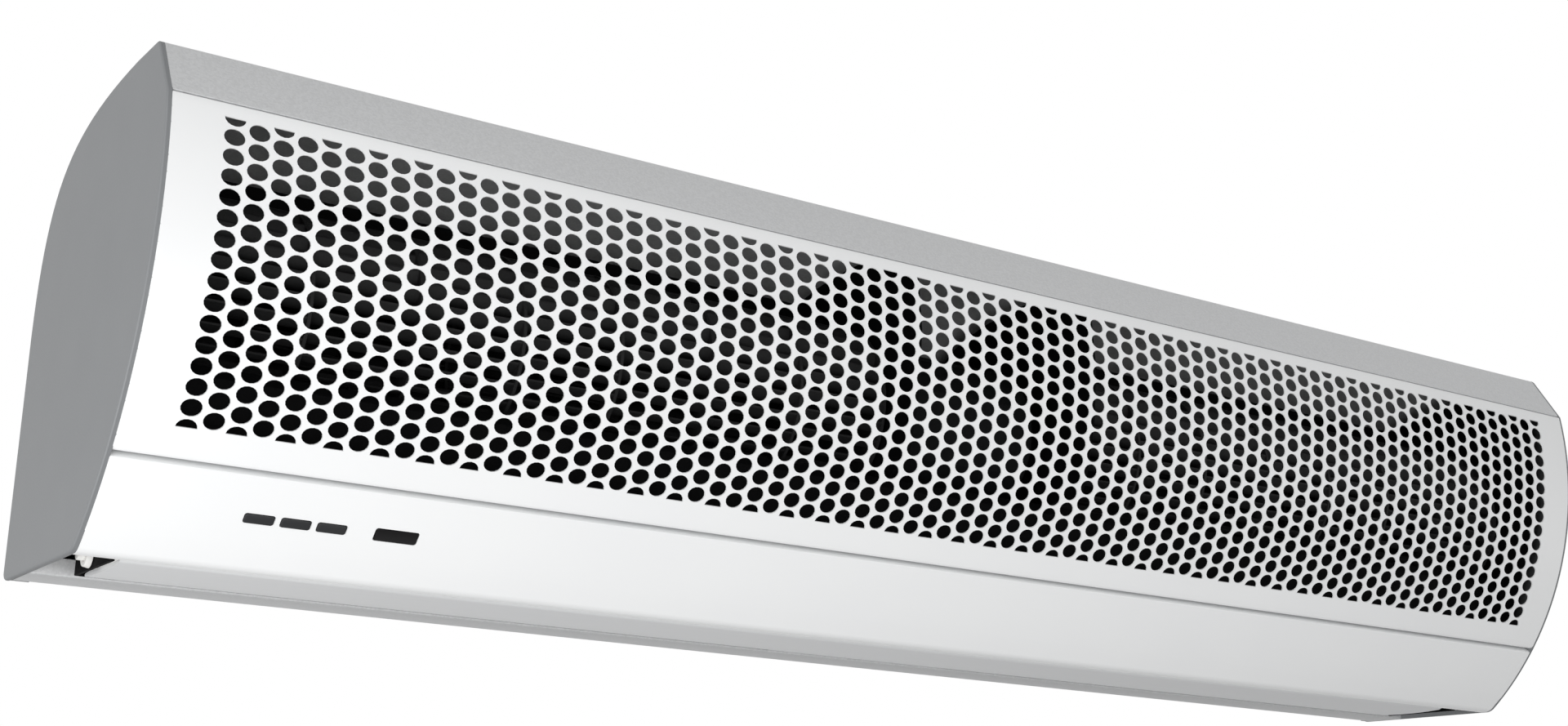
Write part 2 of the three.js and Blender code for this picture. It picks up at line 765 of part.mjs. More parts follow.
const hub = turned([
  [impellerFrom - 1, shaftRadius + seat],
  [impellerFrom - 1, hubRadius],
  [impellerFrom - 1 + hubLength, hubRadius],
  [impellerFrom - 1 + hubLength, shaftRadius + seat],
], fanY, fanZ);
add('impeller_hub_right', hub, 'rubber');
add('impeller_hub_left', mirrored(hub), 'rubber');

add('motor_shaft', rod(
  -(impellerFrom + hubLength), impellerFrom + hubLength, shaftRadius, fanY, fanZ,
), 'bright');

const bearingX = bracketX + bracketWall / 2;
const stub = rod(impellerTo - discWall - 7, bearingX + bearingLength / 2 + 1, shaftRadius, fanY, fanZ);
add('stub_shaft_right', stub, 'bright');
add('stub_shaft_left', mirrored(stub), 'bright');

const bearing = turned([
  [bearingX - bearingLength / 2, shaftRadius + runGap],
  [bearingX - bearingLength / 2, bearingRadius - 2],
  [bearingX - 1, bearingRadius],
  [bearingX + 1, bearingRadius],
  [bearingX + bearingLength / 2, bearingRadius - 2],
  [bearingX + bearingLength / 2, shaftRadius + runGap],
], fanY, fanZ);
add('bearing_right', bearing, 'bronze');
add('bearing_left', mirrored(bearing), 'bronze');

const bushBore = bearingRadius + seat;
const bushGroove = bracketWall / 2 + seat;
const bush = turned([
  [bearingX - bushGroove - bushLip, bushBore],
  [bearingX - bushGroove - bushLip, bushRadius - 1],
  [bearingX - bushGroove, bushRadius],
  [bearingX - bushGroove, bushNeck],
  [bearingX + bushGroove, bushNeck],
  [bearingX + bushGroove, bushRadius],
  [bearingX + bushGroove + bushLip, bushRadius - 1],
  [bearingX + bushGroove + bushLip, bushBore],
], fanY, fanZ, 18);
add('bearing_bush_right', bush, 'rubber');
add('bearing_bush_left', mirrored(bush), 'rubber');

// ---------- motor ----------

add('motor_body', turned([
  [-motorEnd, shaftRadius + runGap],
  [-motorEnd, motorBossRadius],
  [-motorHalf, motorBossRadius],
  [-motorHalf, motorRadius - 5],
  [-motorHalf + 5, motorRadius],
  [motorHalf - 5, motorRadius],
  [motorHalf, motorRadius - 5],
  [motorHalf, motorBossRadius],
  [motorEnd, motorBossRadius],
  [motorEnd, shaftRadius + runGap],
], fanY, fanZ, 20), 'motor');

const ringMiddle = motorHalf + motorBossLength / 2;
const ring = turned([
  [ringMiddle - ringLength / 2, motorBossRadius + seat],
  [ringMiddle - ringLength / 2, ringRadius],
  [ringMiddle + ringLength / 2, ringRadius],
  [ringMiddle + ringLength / 2, motorBossRadius + seat],
], fanY, fanZ, 20);
add('motor_ring_right', ring, 'rubber');
add('motor_ring_left', mirrored(ring), 'rubber');

const seatRadius = ringRadius + seat;
const earZ = seatRadius + earHeight;
const cheekFace = fanY + seat; // the strap's ears close on this plane
const baseFront = backInner - seat - cheekWall;
const baseBottom = fanZ - earZ - 6;
const baseTop = fanZ + 16;
add('motor_bracket', cut(
  join(
    box(-ringMiddle - ringLength / 2, ringMiddle + ringLength / 2,
      baseFront, backInner - seat, baseBottom, baseTop),
    ...[-ringMiddle, ringMiddle].flatMap((x) => [
      alongX([
        p(baseFront + cheekWall / 2, baseBottom),
        p(baseFront + cheekWall / 2, baseTop),
        p(fanY / 2, fanZ + earZ),
        p(cheekFace, fanZ + earZ),
        p(cheekFace, fanZ - earZ),
      ], x - cheekWall / 2, x + cheekWall / 2),
      box(x - ringLength / 2, x + ringLength / 2, cheekFace, cheekFace + cheekWall,
        fanZ - earZ, fanZ + earZ),
    ]),
  ),
  rod(-ringMiddle - ringLength, -ringMiddle + ringLength, seatRadius, fanY, fanZ, 24),
  rod(ringMiddle - ringLength, ringMiddle + ringLength, seatRadius, fanY, fanZ, 24),
  ...backScrews.filter(({ name }) => name.startsWith('motor_screw')).map(backHole),
  ...[-ringMiddle, ringMiddle].flatMap((x) => [-1, 1].map((i) => pinY(
    cheekFace - 1, cheekFace + 12, screwHole, x, fanZ + i * (earZ - earHeight / 2),
  ))),
), 'steel');

const strap = (() => {
  const half = ringLength / 2;
  const band = cut(
    rod(ringMiddle - half, ringMiddle + half, seatRadius + strapWall, fanY, fanZ, 24),
    rod(ringMiddle - half - 1, ringMiddle + half + 1, seatRadius, fanY, fanZ, 24),
    box(ringMiddle - half - 1, ringMiddle + half + 1, fanY, fanY + 60, fanZ - 60, fanZ + 60),
  );
  const ears = [-1, 1].map((i) => box(
    ringMiddle - half, ringMiddle + half, fanY - strapWall, fanY,
    Math.min(i * (seatRadius + 0.5), i * earZ) + fanZ, Math.max(i * (seatRadius + 0.5), i * earZ) + fanZ,
  ));
  return cut(join(band, ...ears), ...[-1, 1].map((i) => pinY(
    fanY - 10, fanY + 1, screwHole, ringMiddle, fanZ + i * (earZ - earHeight / 2),
  )));
})();
add('motor_strap_right', strap, 'steel');
add('motor_strap_left', mirrored(strap), 'steel');

// ---------- louvre ----------

const louvreEnd = halfLength - louvreEndGap;
const louvreBody = (() => {
  const blade = new THREE.QuadraticBezierCurve(
    p(louvreY - louvreHalfChord + louvreNose, louvreZ - louvreNose / 2),
    p(louvreY, louvreZ - louvreNose / 2 + louvreCamber),
    p(louvreY + louvreHalfChord, louvreZ - louvreNose),
  ).getPoints(8);
  return join(
    alongX(sheet(blade, louvreWall), -louvreEnd, louvreEnd),
    rod(-louvreEnd, louvreEnd, louvreNose, louvreY - louvreHalfChord + louvreNose,
      louvreZ - louvreNose / 2, 16),
    rod(-louvreEnd, louvreEnd, pivotRadius, louvreY, louvreZ, 12),
  );
})();
add('outlet_louvre', louvreBody, 'aluminium');

const pivotFrom = louvreEnd + seat;
const pivotEnd = bracketX + bracketWall + 6;
const pivot = join(
  alongX([
    p(louvreY - louvreHalfChord + 2, louvreZ - louvreNose),
    p(louvreY + 6, louvreZ - pivotRadius),
    p(louvreY + 6, louvreZ + pivotRadius),
    p(louvreY - louvreHalfChord + 2, louvreZ + 1),
  ], pivotFrom, pivotFrom + pivotPlate),
  rod(pivotFrom, pivotEnd, pivotRadius, louvreY, louvreZ, 16),
);
add('louvre_pivot_right', pivot, 'nylon');
add('louvre_pivot_left', mirrored(pivot), 'nylon');

const louvreBush = turned([
  [bracketX - seat - 1, pivotRadius + runGap],
  [bracketX - seat - 1, louvreBushFlange],
  [bracketX - seat, louvreBushFlange],
  [bracketX - seat, louvreBushRadius],
  [bracketX + bracketWall + seat, louvreBushRadius],
  [bracketX + bracketWall + seat, louvreBushFlange],
  [bracketX + bracketWall + 3, louvreBushFlange],
  [bracketX + bracketWall + 3, pivotRadius + runGap],
], louvreY, louvreZ, 14);
add('louvre_bush_right', louvreBush, 'nylon');
add('louvre_bush_left', mirrored(louvreBush), 'nylon');

// ---------- controls ----------

const flangeInner = skinDepth + seat;
const flangeWall = 1;
const stemEnd = 7;
for (const { name, x } of buttons) {
  const w = buttonWidth / 2;
  const h = buttonHeight / 2;
  add(`${name}_button`, onPanel(join(
    box(x - w, x + w, -buttonProud, flangeInner + flangeWall / 2, -h, h),
    box(x - w - buttonFlange, x + w + buttonFlange, flangeInner, flangeInner + flangeWall,
      -h - buttonFlange, h + buttonFlange),
    box(x - stemSize / 2, x + stemSize / 2, flangeInner, stemEnd, -stemSize / 2, stemSize / 2),
  )), 'button');
}

const switchFace = stemEnd - 1;
const pocketDepth = buttonTravel + 1 + seat;
const pocket = stemSize / 2 + seat;
add('button_board', onPanel(cut(
  join(
    box(boardFrom, boardTo, boardDepth, boardDepth + boardWall, -boardHeight / 2, boardHeight / 2),
    ...buttons.map(({ x }) => box(
      x - switchSize / 2, x + switchSize / 2, switchFace, boardDepth + boardWall / 2,
      -switchSize / 2, switchSize / 2,
    )),
    box(receiverX - 3.5, receiverX + 3.5, switchFace, boardDepth + boardWall / 2, -3, 3),
  ),
  ...buttons.map(({ x }) => box(
    x - pocket, x + pocket, switchFace - 1, switchFace + pocketDepth, -pocket, pocket,
  )),
)), 'board');

add('receiver_window', onPanel(join(
  box(receiverX - windowWidth / 2, receiverX + windowWidth / 2, -0.3, flangeInner + flangeWall / 2,
    -windowHeight / 2, windowHeight / 2),
  box(receiverX - windowWidth / 2 - buttonFlange, receiverX + windowWidth / 2 + buttonFlange,
    flangeInner, flangeInner + flangeWall, -windowHeight / 2 - buttonFlange,
    windowHeight / 2 + buttonFlange),
)), 'lens');

// ---------- electrics ----------

const boardFace = backInner - standoff - seat;
const boardHalf = controlBoardLength / 2;
const boardTall = controlBoardHeight / 2;
const onBoard = (fromX, fromZ, width, height, depth) => box(
  controlBoardX + fromX, controlBoardX + fromX + width,
  boardFace - depth, boardFace - boardWall / 2,
  controlBoardZ + fromZ, controlBoardZ + fromZ + height,
);
const lowOnBoard = componentInset - boardTall;
add('control_board', join(
  box(controlBoardX - boardHalf, controlBoardX + boardHalf, boardFace - boardWall, boardFace,
    controlBoardZ - boardTall, controlBoardZ + boardTall),
  onBoard(componentInset - boardHalf, lowOnBoard, transformerWidth, transformerHeight,
    transformerDepth),
  onBoard(-relayWidth / 2, lowOnBoard, relayWidth, relayHeight, relayDepth),
  onBoard(boardHalf - componentInset - plugWidth, boardTall - componentInset - plugHeight,
    plugWidth, plugHeight, plugDepth),
), 'board');

// these two stand on the inside of the back panel
const onBack = (x, z, width, height, depth) => box(
  x - width / 2, x + width / 2, backInner - seat - depth, backInner - seat,
  z - height / 2, z + height / 2,
);
const capacitorX = controlBoardX - boardHalf - capacitorGap - capacitorWidth / 2;
add('motor_capacitor', join(
  onBack(capacitorX, capacitorZ, capacitorWidth, capacitorHeight, capacitorDepth),
  onBack(capacitorX - capacitorWidth / 2, capacitorZ, 2 * capacitorEar, capacitorEar, sheetWall),
), 'capacitor');

const terminalX = cableX + terminalToCable;
const terminalLength = terminalWays * terminalPitch;
const terminalStep = terminalDepth * 0.6; // wire entries stand in front of the screw ridge
add('terminal_block', cut(
  join(
    onBack(terminalX, cableZ, terminalLength, terminalHeight, terminalStep),
    onBack(terminalX, cableZ, terminalLength, terminalHeight / 2, terminalDepth),
  ),
  ...Array.from({ length: terminalWays }, (_, i) => pinY(
    backInner - terminalDepth - 2, backInner - terminalStep, terminalPitch * 0.3,
    terminalX - terminalLength / 2 + (i + 0.5) * terminalPitch, cableZ,
  )),
), 'nylon');

const grommetNeck = grommetRadius - seat;
const grommetProfile = [
  [-plateNest + seat + 1.5, cableRadius],
  [-plateNest + seat + 1.5, grommetRadius + 2],
  [-plateNest + seat, grommetRadius + 2.5],
  [-plateNest + seat, grommetNeck],
  [backInner - seat, grommetNeck],
  [backInner - seat, grommetRadius + 2.5],
  [backInner - seat - 2.5, grommetRadius + 1],
  [backInner - seat - 2.5, cableRadius],
].map(([y, r]) => new THREE.Vector2(r, y));
add('cable_grommet', new THREE.LatheGeometry(
  [...grommetProfile, grommetProfile[0].clone()].reverse(), 14,
).translate(cableX, 0, cableZ), 'rubber');

// ---------- screws ----------

// a pan head screw whose shank points along -Y from the given plane
const screw = (x, y, z, length) => {
  const outlineOfScrew = [
    p(0, -length), p(screwRadius, -length + 1), p(screwRadius, 0),
    p(screwHead, 0), p(screwHead * 0.7, screwHeadHeight), p(0, screwHeadHeight),
  ];
  return new THREE.LatheGeometry(outlineOfScrew, 8).translate(x, y, z);
};
for (const { name, x, z } of backScrews) {
  add(name, screw(x, -plateNest + seat, z, 8), 'bright');
}
for (const [side, s] of sides) {
  for (const [place, i] of [['lower', -1], ['upper', 1]]) {
    const turnedScrew = screw(0, 0, 0, 8).rotateX(Math.PI).translate(
      s * ringMiddle, fanY - strapWall - seat, fanZ + i * (earZ - earHeight / 2),
    );
    add(`strap_screw_${side}_${place}`, turnedScrew, 'bright');
  }
}

const part = new THREE.Group();
model.position.z = -hangHeight;
part.add(model);

export default part;
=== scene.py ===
# Air curtain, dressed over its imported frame. Metres; X along the unit, -Y to the room, Z up.
import json
import math

import bmesh
import bpy
from mathutils import Matrix, Vector
from mathutils.geometry import interpolate_bezier


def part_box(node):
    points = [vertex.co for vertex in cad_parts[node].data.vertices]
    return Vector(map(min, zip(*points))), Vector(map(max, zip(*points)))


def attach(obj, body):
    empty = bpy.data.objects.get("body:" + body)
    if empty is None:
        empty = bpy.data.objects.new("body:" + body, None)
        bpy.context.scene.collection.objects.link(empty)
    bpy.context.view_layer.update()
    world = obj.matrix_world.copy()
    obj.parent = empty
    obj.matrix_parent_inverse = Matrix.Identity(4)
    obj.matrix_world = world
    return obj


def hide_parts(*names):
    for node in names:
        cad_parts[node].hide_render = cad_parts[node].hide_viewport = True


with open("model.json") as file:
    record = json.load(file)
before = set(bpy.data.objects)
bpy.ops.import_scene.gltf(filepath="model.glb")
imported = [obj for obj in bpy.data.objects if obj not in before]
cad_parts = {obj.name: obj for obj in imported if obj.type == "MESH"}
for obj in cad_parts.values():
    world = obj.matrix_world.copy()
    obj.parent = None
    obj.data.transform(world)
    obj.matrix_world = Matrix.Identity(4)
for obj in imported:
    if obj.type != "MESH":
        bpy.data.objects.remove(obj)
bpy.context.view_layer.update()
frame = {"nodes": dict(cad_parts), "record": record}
print("frame loaded")

# ---- the end outline that the skins and the caps share ----

casingLow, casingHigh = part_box("rear_casing")
capLow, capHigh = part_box("end_cap_right")

outline = {
    "arcRadius": 0.1885,
    "arcCentre": (0.0153, 0.0464),  # Y and Z
    "coverTop": 10.5,  # degrees above the centre of the arc
    "panelHeight": 0.0495,  # foot to the seam, along the arc
    "stripSlope": 56.3,
    "topCurveEnd": -0.125,  # Y where the level top begins to fall to the back
    "topPull": 0.0957,
    "topRise": 0.0032,
    "backCurveStart": 0.014,
    "backPull": 0.0697,
    "footRadius": 0.008,
    "topCornerRadius": 0.004,
    "heelRadius": 0.004,
    "topZ": capHigh.z,
    "bottomZ": capLow.z,
}
sheet = {
    "wall": 0.0012,
    "flange": 0.008,
    "seamGap": 0.0014,
    "seamFold": 0.0026,
    "crispFold": 0.0007,
    "gap": 0.0003,
    "end": casingHigh.x,  # skins run from -end to end
}
outlet = {"frontY": -0.097, "rearY": casingHigh.y - 0.029}


def arcPoint(angle, depth=0.0):
    reach = outline["arcRadius"] - depth
    turn = math.radians(angle)
    y, z = outline["arcCentre"]
    return Vector((0, y - reach * math.cos(turn), z + reach * math.sin(turn)))


def backCurve(steps=24):  # from the level top over to the back
    o = outline
    points = interpolate_bezier(
        Vector((0, o["topCurveEnd"], o["topZ"])),
        Vector((0, o["topCurveEnd"] + o["topPull"], o["topZ"] - o["topRise"])),
        Vector((0, -0.0022, o["backCurveStart"] + o["backPull"])),
        Vector((0, 0, o["backCurveStart"])),
        steps,
    )
    return [Vector(p) for p in points]


degreesPerMetre = math.degrees(1 / outline["arcRadius"])
underAngle = -math.degrees(
    math.asin((outline["arcCentre"][1] - outline["bottomZ"]) / outline["arcRadius"])
)
seamAngle = underAngle + outline["panelHeight"] * degreesPerMetre
coverEdge = arcPoint(outline["coverTop"])
topFront = Vector((
    0,
    coverEdge.y
    + (outline["topZ"] - coverEdge.z) / math.tan(math.radians(outline["stripSlope"])),
    outline["topZ"],
))

# ---- mesh helpers ----


def chain(bm, points, closed=False):
    verts = [bm.verts.new(p) for p in points]
    edges = [bm.edges.new(pair) for pair in zip(verts, verts[1:])]
    if closed:
        edges.append(bm.edges.new((verts[-1], verts[0])))
    return verts, edges


def sweepArc(bm, vert, centre, angle, steps):  # draws an arc on from a vertex, round (Y, Z)
    made = bmesh.ops.spin(
        bm, geom=[vert], cent=(0, *centre), axis=(1, 0, 0),
        angle=math.radians(angle), steps=steps, use_duplicate=False,
    )
    return next(g for g in made["geom_last"] if isinstance(g, bmesh.types.BMVert))


def drawAlongX(bm, fromX, toX):  # draws every edge of a profile out along X
    bmesh.ops.translate(bm, verts=bm.verts[:], vec=(fromX, 0, 0))
    made = bmesh.ops.extrude_edge_only(bm, edges=bm.edges[:])
    verts = [g for g in made["geom"] if isinstance(g, bmesh.types.BMVert)]
    bmesh.ops.translate(bm, verts=verts, vec=(toX - fromX, 0, 0))


def prism(bm, fromX, toX):  # fills a closed outline and gives it a length
    bmesh.ops.contextual_create(bm, geom=bm.edges[:])
    bmesh.ops.translate(bm, verts=bm.verts[:], vec=(fromX, 0, 0))
    made = bmesh.ops.extrude_face_region(bm, geom=bm.faces[:], use_keep_orig=True)["geom"]
    far = [g for g in made if isinstance(g, bmesh.types.BMVert)]
    bmesh.ops.translate(bm, verts=far, vec=(toX - fromX, 0, 0))
    bmesh.ops.recalc_face_normals(bm, faces=bm.faces[:])


def turned(profile, segments, closed=True):  # revolves a list of (x, radius) about X
    bm = bmesh.new()
    chain(bm, [(x, 0, radius) for x, radius in profile], closed)
    bmesh.ops.spin(
        bm, geom=bm.verts[:] + bm.edges[:], cent=(0, 0, 0), axis=(1, 0, 0),
        angle=2 * math.pi, steps=segments, use_merge=True,
    )
    bmesh.ops.remove_doubles(bm, verts=bm.verts[:], dist=1e-6)
    bmesh.ops.recalc_face_normals(bm, faces=bm.faces[:])
    return bm


def rod(fromX, toX, radius, segments=32):
    return turned([(fromX, 0), (fromX, radius), (toX, radius), (toX, 0)], segments, False)


def moved(bm, to):
    bmesh.ops.translate(bm, verts=bm.verts[:], vec=to)
    return bm


def onSide(bm, side):  # mirrors what was built for the right end over to the left
    if side < 0:
        bmesh.ops.scale(bm, verts=bm.verts[:], vec=(-1, 1, 1))
        bmesh.ops.reverse_faces(bm, faces=bm.faces[:])
    return bm


def foldAt(bm, place, radius, segments=4):  # rounds the fold that runs along X through a place
    for edge in list(bm.edges):
        a, b = edge.verts
        if abs(a.co.x - b.co.x) < 1e-4 or len(edge.link_faces) != 2:
            continue
        if (a.co.yz - Vector(place).yz).length > 2e-5:
            continue
        half = edge.calc_face_angle() / 2
        bmesh.ops.bevel(
            bm, geom=[edge], offset=radius * math.tan(half), offset_type="OFFSET",
            segments=segments, profile=0.5, affect="EDGES", material=-1,
        )
        return
    print("no fold at", tuple(place))


def turnOutward(bm, centre):
    bmesh.ops.recalc_face_normals(bm, faces=bm.faces[:])
    lean = sum(
        f.calc_area() * f.normal.dot(f.calc_center_median() - Vector(centre)) for f in bm.faces
    )
    if lean < 0:
        bmesh.ops.reverse_faces(bm, faces=bm.faces[:])


def moulded(bm, radius, segments=3, angle=35):  # rounds every edge sharper than an angle
    sharp = [e for e in bm.edges if len(e.link_faces) == 2
             and e.calc_face_angle(0) > math.radians(angle)]
    bmesh.ops.bevel(
        bm, geom=sharp, offset=radius, offset_type="OFFSET", segments=segments,
        profile=0.5, affect="EDGES", material=-1, clamp_overlap=True,
    )


def block(bm, low, high):  # a box between two corners
    made = bmesh.ops.create_cube(bm, size=1)
    low, high = Vector(low), Vector(high)
    bmesh.ops.scale(bm, verts=made["verts"], vec=high - low)
    bmesh.ops.translate(bm, verts=made["verts"], vec=(low + high) / 2)
    return made["verts"]


def meshOf(bm, name, smoothBelow=40):
    bmesh.ops.triangulate(bm, faces=[f for f in bm.faces if len(f.verts) > 4])
    mesh = bpy.data.meshes.new(name)
    bm.to_mesh(mesh)
    bm.free()
    mesh.polygons.foreach_set("use_smooth", [True] * len(mesh.polygons))
    mesh.set_sharp_from_angle(angle=math.radians(smoothBelow))
    return mesh


def linked(name, mesh):
    obj = bpy.data.objects.new(name, mesh)
    bpy.context.scene.collection.objects.link(obj)
    return obj


def applied(body, tools=()):  # the mesh that an object's modifiers give
    bpy.context.view_layer.update()
    graph = bpy.context.evaluated_depsgraph_get()
    result = bpy.data.meshes.new_from_object(body.evaluated_get(graph))
    for made in [body, *tools]:
        bpy.data.objects.remove(made)
    result.set_sharp_from_angle(angle=math.radians(30))
    return result


def walled(bm, thickness, inside=0):  # gives a skin its wall, inwards, with its own inside material: in the cover and the casing, the black painted shade
    body = linked("body", meshOf(bm, "skin"))
    step = body.modifiers.new("wall", "SOLIDIFY")
    step.thickness = thickness
    step.offset = -1
    step.use_even_offset = True
    step.material_offset = inside
    shell = bmesh.new()
    shell.from_mesh(applied(body))
    return shell


def cutWith(mesh, cutters, operation="DIFFERENCE"):  # mesh booleans, applied at once
    body = linked("body", mesh)
    tools = [linked("tool", cutter) for cutter in cutters]
    for tool in tools:
        step = body.modifiers.new("cut", "BOOLEAN")
        step.operation = operation
        step.solver = "EXACT"
        step.object = tool
    return applied(body, tools)


def place(mesh, name, body, materials, slot, replaced=()):
    obj = bpy.data.objects.new(name, mesh)
    bpy.context.scene.collection.objects.link(obj)
    mesh.materials.clear()
    for material in materials:
        mesh.materials.append(material)
    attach(obj, body)
    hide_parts(*replaced)
    return obj


# ---- materials ----


def colour(value):  # an sRGB hex colour as linear RGBA
    parts = [int(value[i:i + 2], 16) / 255 for i in (1, 3, 5)]
    linear = [c / 12.92 if c <= 0.04045 else ((c + 0.055) / 1.055) ** 2.4 for c in parts]
    return (*linear, 1)


def addNode(tree, kind, settings=None, links=None):
    node = tree.nodes.new(kind)
    for key, value in (settings or {}).items():
        if key in node.inputs:
            node.inputs[key].default_value = value
        else:
            setattr(node, key, value)
    for key, source in (links or {}).items():
        tree.links.new(source, node.inputs[key])
    return node


def newMaterial(name, settings):
    material = bpy.data.materials.new(name)
    material.use_nodes = True
    tree = material.node_tree
    shader = tree.nodes["Principled BSDF"]
    for key, value in settings.items():
        shader.inputs[key].default_value = value
    places = addNode(tree, "ShaderNodeTexCoord")
    return material, tree, shader, places.outputs["Object"]


def tinted(tree, shader, pattern, low, high):  # runs the base colour between two shades
    ramp = addNode(tree, "ShaderNodeValToRGB", links={"Fac": pattern})
    ramp.color_ramp.elements[0].color = colour(low)
    ramp.color_ramp.elements[1].color = colour(high)
    tree.links.new(ramp.outputs["Color"], shader.inputs["Base Color"])


def roughened(tree, shader, pattern, low, high):
    spread = addNode(
        tree, "ShaderNodeMapRange", {"To Min": low, "To Max": high}, {"Value": pattern},
    )
    tree.links.new(spread.outputs["Result"], shader.inputs["Roughness"])


def bumped(tree, shader, pattern, strength, distance):
    bump = addNode(
        tree, "ShaderNodeBump", {"Strength": strength, "Distance": distance}, {"Height": pattern},
    )
    tree.links.new(bump.outputs["Normal"], shader.inputs["Normal"])


def noise(tree, places, size, detail=2.0, stretch=(1, 1, 1)):  # size of one lump in metres
    turned = addNode(tree, "ShaderNodeMapping", {"Scale": stretch}, {"Vector": places})
    lumps = addNode(
        tree, "ShaderNodeTexNoise", {"Scale": 1 / size, "Detail": detail},
        {"Vector": turned.outputs["Vector"]},
    )
    return lumps.outputs["Fac"]


def powderCoat(name, low, high, roughness=0.36, shine=0.5):  # baked powder: faint orange peel
    material, tree, shader, places = newMaterial(
        name, {"Metallic": 0, "IOR": 1.5, "Specular IOR Level": shine,
               "Coat Weight": 0.3 * shine, "Coat Roughness": 0.25},
    )
    tinted(tree, shader, noise(tree, places, 0.06), low, high)
    peel = noise(tree, places, 0.0016, 3)
    roughened(tree, shader, peel, roughness - 0.04, roughness + 0.06)
    bumped(tree, shader, peel, 0.2, 0.00006)
    return material


def silverPaint(name, low, high):  # paint with fine aluminium flake: grey with a soft sparkle
    material, tree, shader, places = newMaterial(name, {"Metallic": 0.25, "IOR": 1.5})
    flakes = addNode(
        tree, "ShaderNodeTexVoronoi", {"Scale": 1 / 0.0009}, {"Vector": places},
    ).outputs["Color"]
    grey = addNode(tree, "ShaderNodeSeparateColor", links={"Color": flakes}).outputs["Red"]
    tinted(tree, shader, grey, low, high)
    roughened(tree, shader, grey, 0.36, 0.48)
    bumped(tree, shader, noise(tree, places, 0.0018, 3), 0.15, 0.00005)
    return material


def mouldedPlastic(name, low, high, roughness, grain=0.0009):  # spark-eroded tool grain, matt
    material, tree, shader, places = newMaterial(name, {"Metallic": 0, "IOR": 1.49})
    tinted(tree, shader, noise(tree, places, 0.03), low, high)
    fine = noise(tree, places, grain, 3)
    roughened(tree, shader, fine, roughness - 0.05, roughness + 0.07)
    bumped(tree, shader, fine, 0.3, 0.00007)
    return material


def zincSheet(name):  # hot-dip zinc: large crystals of unlike grey, half bright
    material, tree, shader, places = newMaterial(name, {"Metallic": 0.85})
    crystals = addNode(
        tree, "ShaderNodeTexVoronoi", {"Scale": 1 / 0.009, "Randomness": 1}, {"Vector": places},
    ).outputs["Color"]
    grey = addNode(tree, "ShaderNodeSeparateColor", links={"Color": crystals}).outputs["Red"]
    tinted(tree, shader, grey, "#9ea2a5", "#b6babd")
    roughened(tree, shader, grey, 0.34, 0.5)
    bumped(tree, shader, noise(tree, places, 0.0007), 0.12, 0.00003)
    return material


def drawnMetal(name, low, high, roughness, stretch, metallic=1.0):  # drawn or turned: fine lines
    material, tree, shader, places = newMaterial(name, {"Metallic": metallic})
    lines = noise(tree, places, 0.0008, 2, stretch)
    tinted(tree, shader, lines, low, high)
    roughened(tree, shader, lines, roughness - 0.06, roughness + 0.08)
    bumped(tree, shader, lines, 0.12, 0.00003)
    return material


whiteCoat = powderCoat("white powder coat", "#f1f2f3", "#f5f6f6")
greyCoat = silverPaint("silver flake paint", "#c3c4c5", "#cfd0d1")
capMoulding = mouldedPlastic("grey ABS moulding", "#7a7c7e", "#7f8183", 0.5)
louvreFinish = drawnMetal(
    "satin anodised aluminium", "#dfe0e1", "#e7e8e9", 0.45, (0.01, 1, 1), metallic=0.08,
)
# matt black on every inside face and on the inner sheets: painted shade, which darkens the holes
# and gaps the way the shade inside the housing would
paintedShadeBlack = powderCoat("matt black stove enamel", "#060607", "#09090a", 0.7, 0.06)
zinc = zincSheet("zinc coated sheet steel")
brightSteel = drawnMetal("bright zinc plated steel", "#c3c6c9", "#d2d4d6", 0.26, (1, 1, 1))
fanPlastic = mouldedPlastic("black glass-filled nylon", "#0b0b0c", "#101011", 0.7)
softRubber = mouldedPlastic("black nitrile rubber", "#131313", "#191919", 0.82)
sinteredBronze = drawnMetal("sintered bronze", "#8a6c43", "#9a7a4e", 0.45, (1, 1, 1))
motorEnamel = powderCoat("matt charcoal motor enamel", "#121314", "#18191a", 0.65, 0.08)
buttonPlastic = mouldedPlastic("dark grey ABS", "#232426", "#292a2c", 0.42, 0.0006)
smokedLens = mouldedPlastic("smoked polycarbonate", "#070607", "#0b090b", 0.12, 0.004)
boardLaminate = mouldedPlastic("green glass-epoxy laminate", "#1c4a31", "#245a3b", 0.4)
naturalNylon = mouldedPlastic("natural nylon", "#e2e2df", "#ecebe8", 0.45)
capacitorCase = mouldedPlastic("black polypropylene case", "#18191b", "#1f2022", 0.4)

slotFinish = {
    "white_paint": whiteCoat,
    "silver_paint": greyCoat,
    "cap_plastic": capMoulding,
    "zinc_steel": zinc,
    # the inner sheets of the air path also take the black painted shade
    "black_enamel": paintedShadeBlack,
    "bright_steel": brightSteel,
    "louvre_aluminium": louvreFinish,
    "fan_plastic": fanPlastic,
    "rubber": softRubber,
    "bronze": sinteredBronze,
    "motor_paint": motorEnamel,
    "button_plastic": buttonPlastic,
    "window_plastic": smokedLens,
    "circuit_board": boardLaminate,
    "nylon": naturalNylon,
    "capacitor_plastic": capacitorCase,
}
for entry in frame["record"]["subparts"]:
    node = frame["nodes"][entry["node"]]
    node.data.materials.clear()
    node.data.materials.append(slotFinish[entry["material_slot"]])
print("materials made")

# ---- perforated cover ----

grille = {
    "columns": 81,
    "rows": 15,
    "columnPitch": 0.010525,
    "rowPitch": 0.00873,
    "holeWidth": 0.0093,
    "holeHeight": 0.0076,
    "wall": 0.0008,
    "topBorder": 0.0064,
    "sides": 16,  # facets of one hole
}


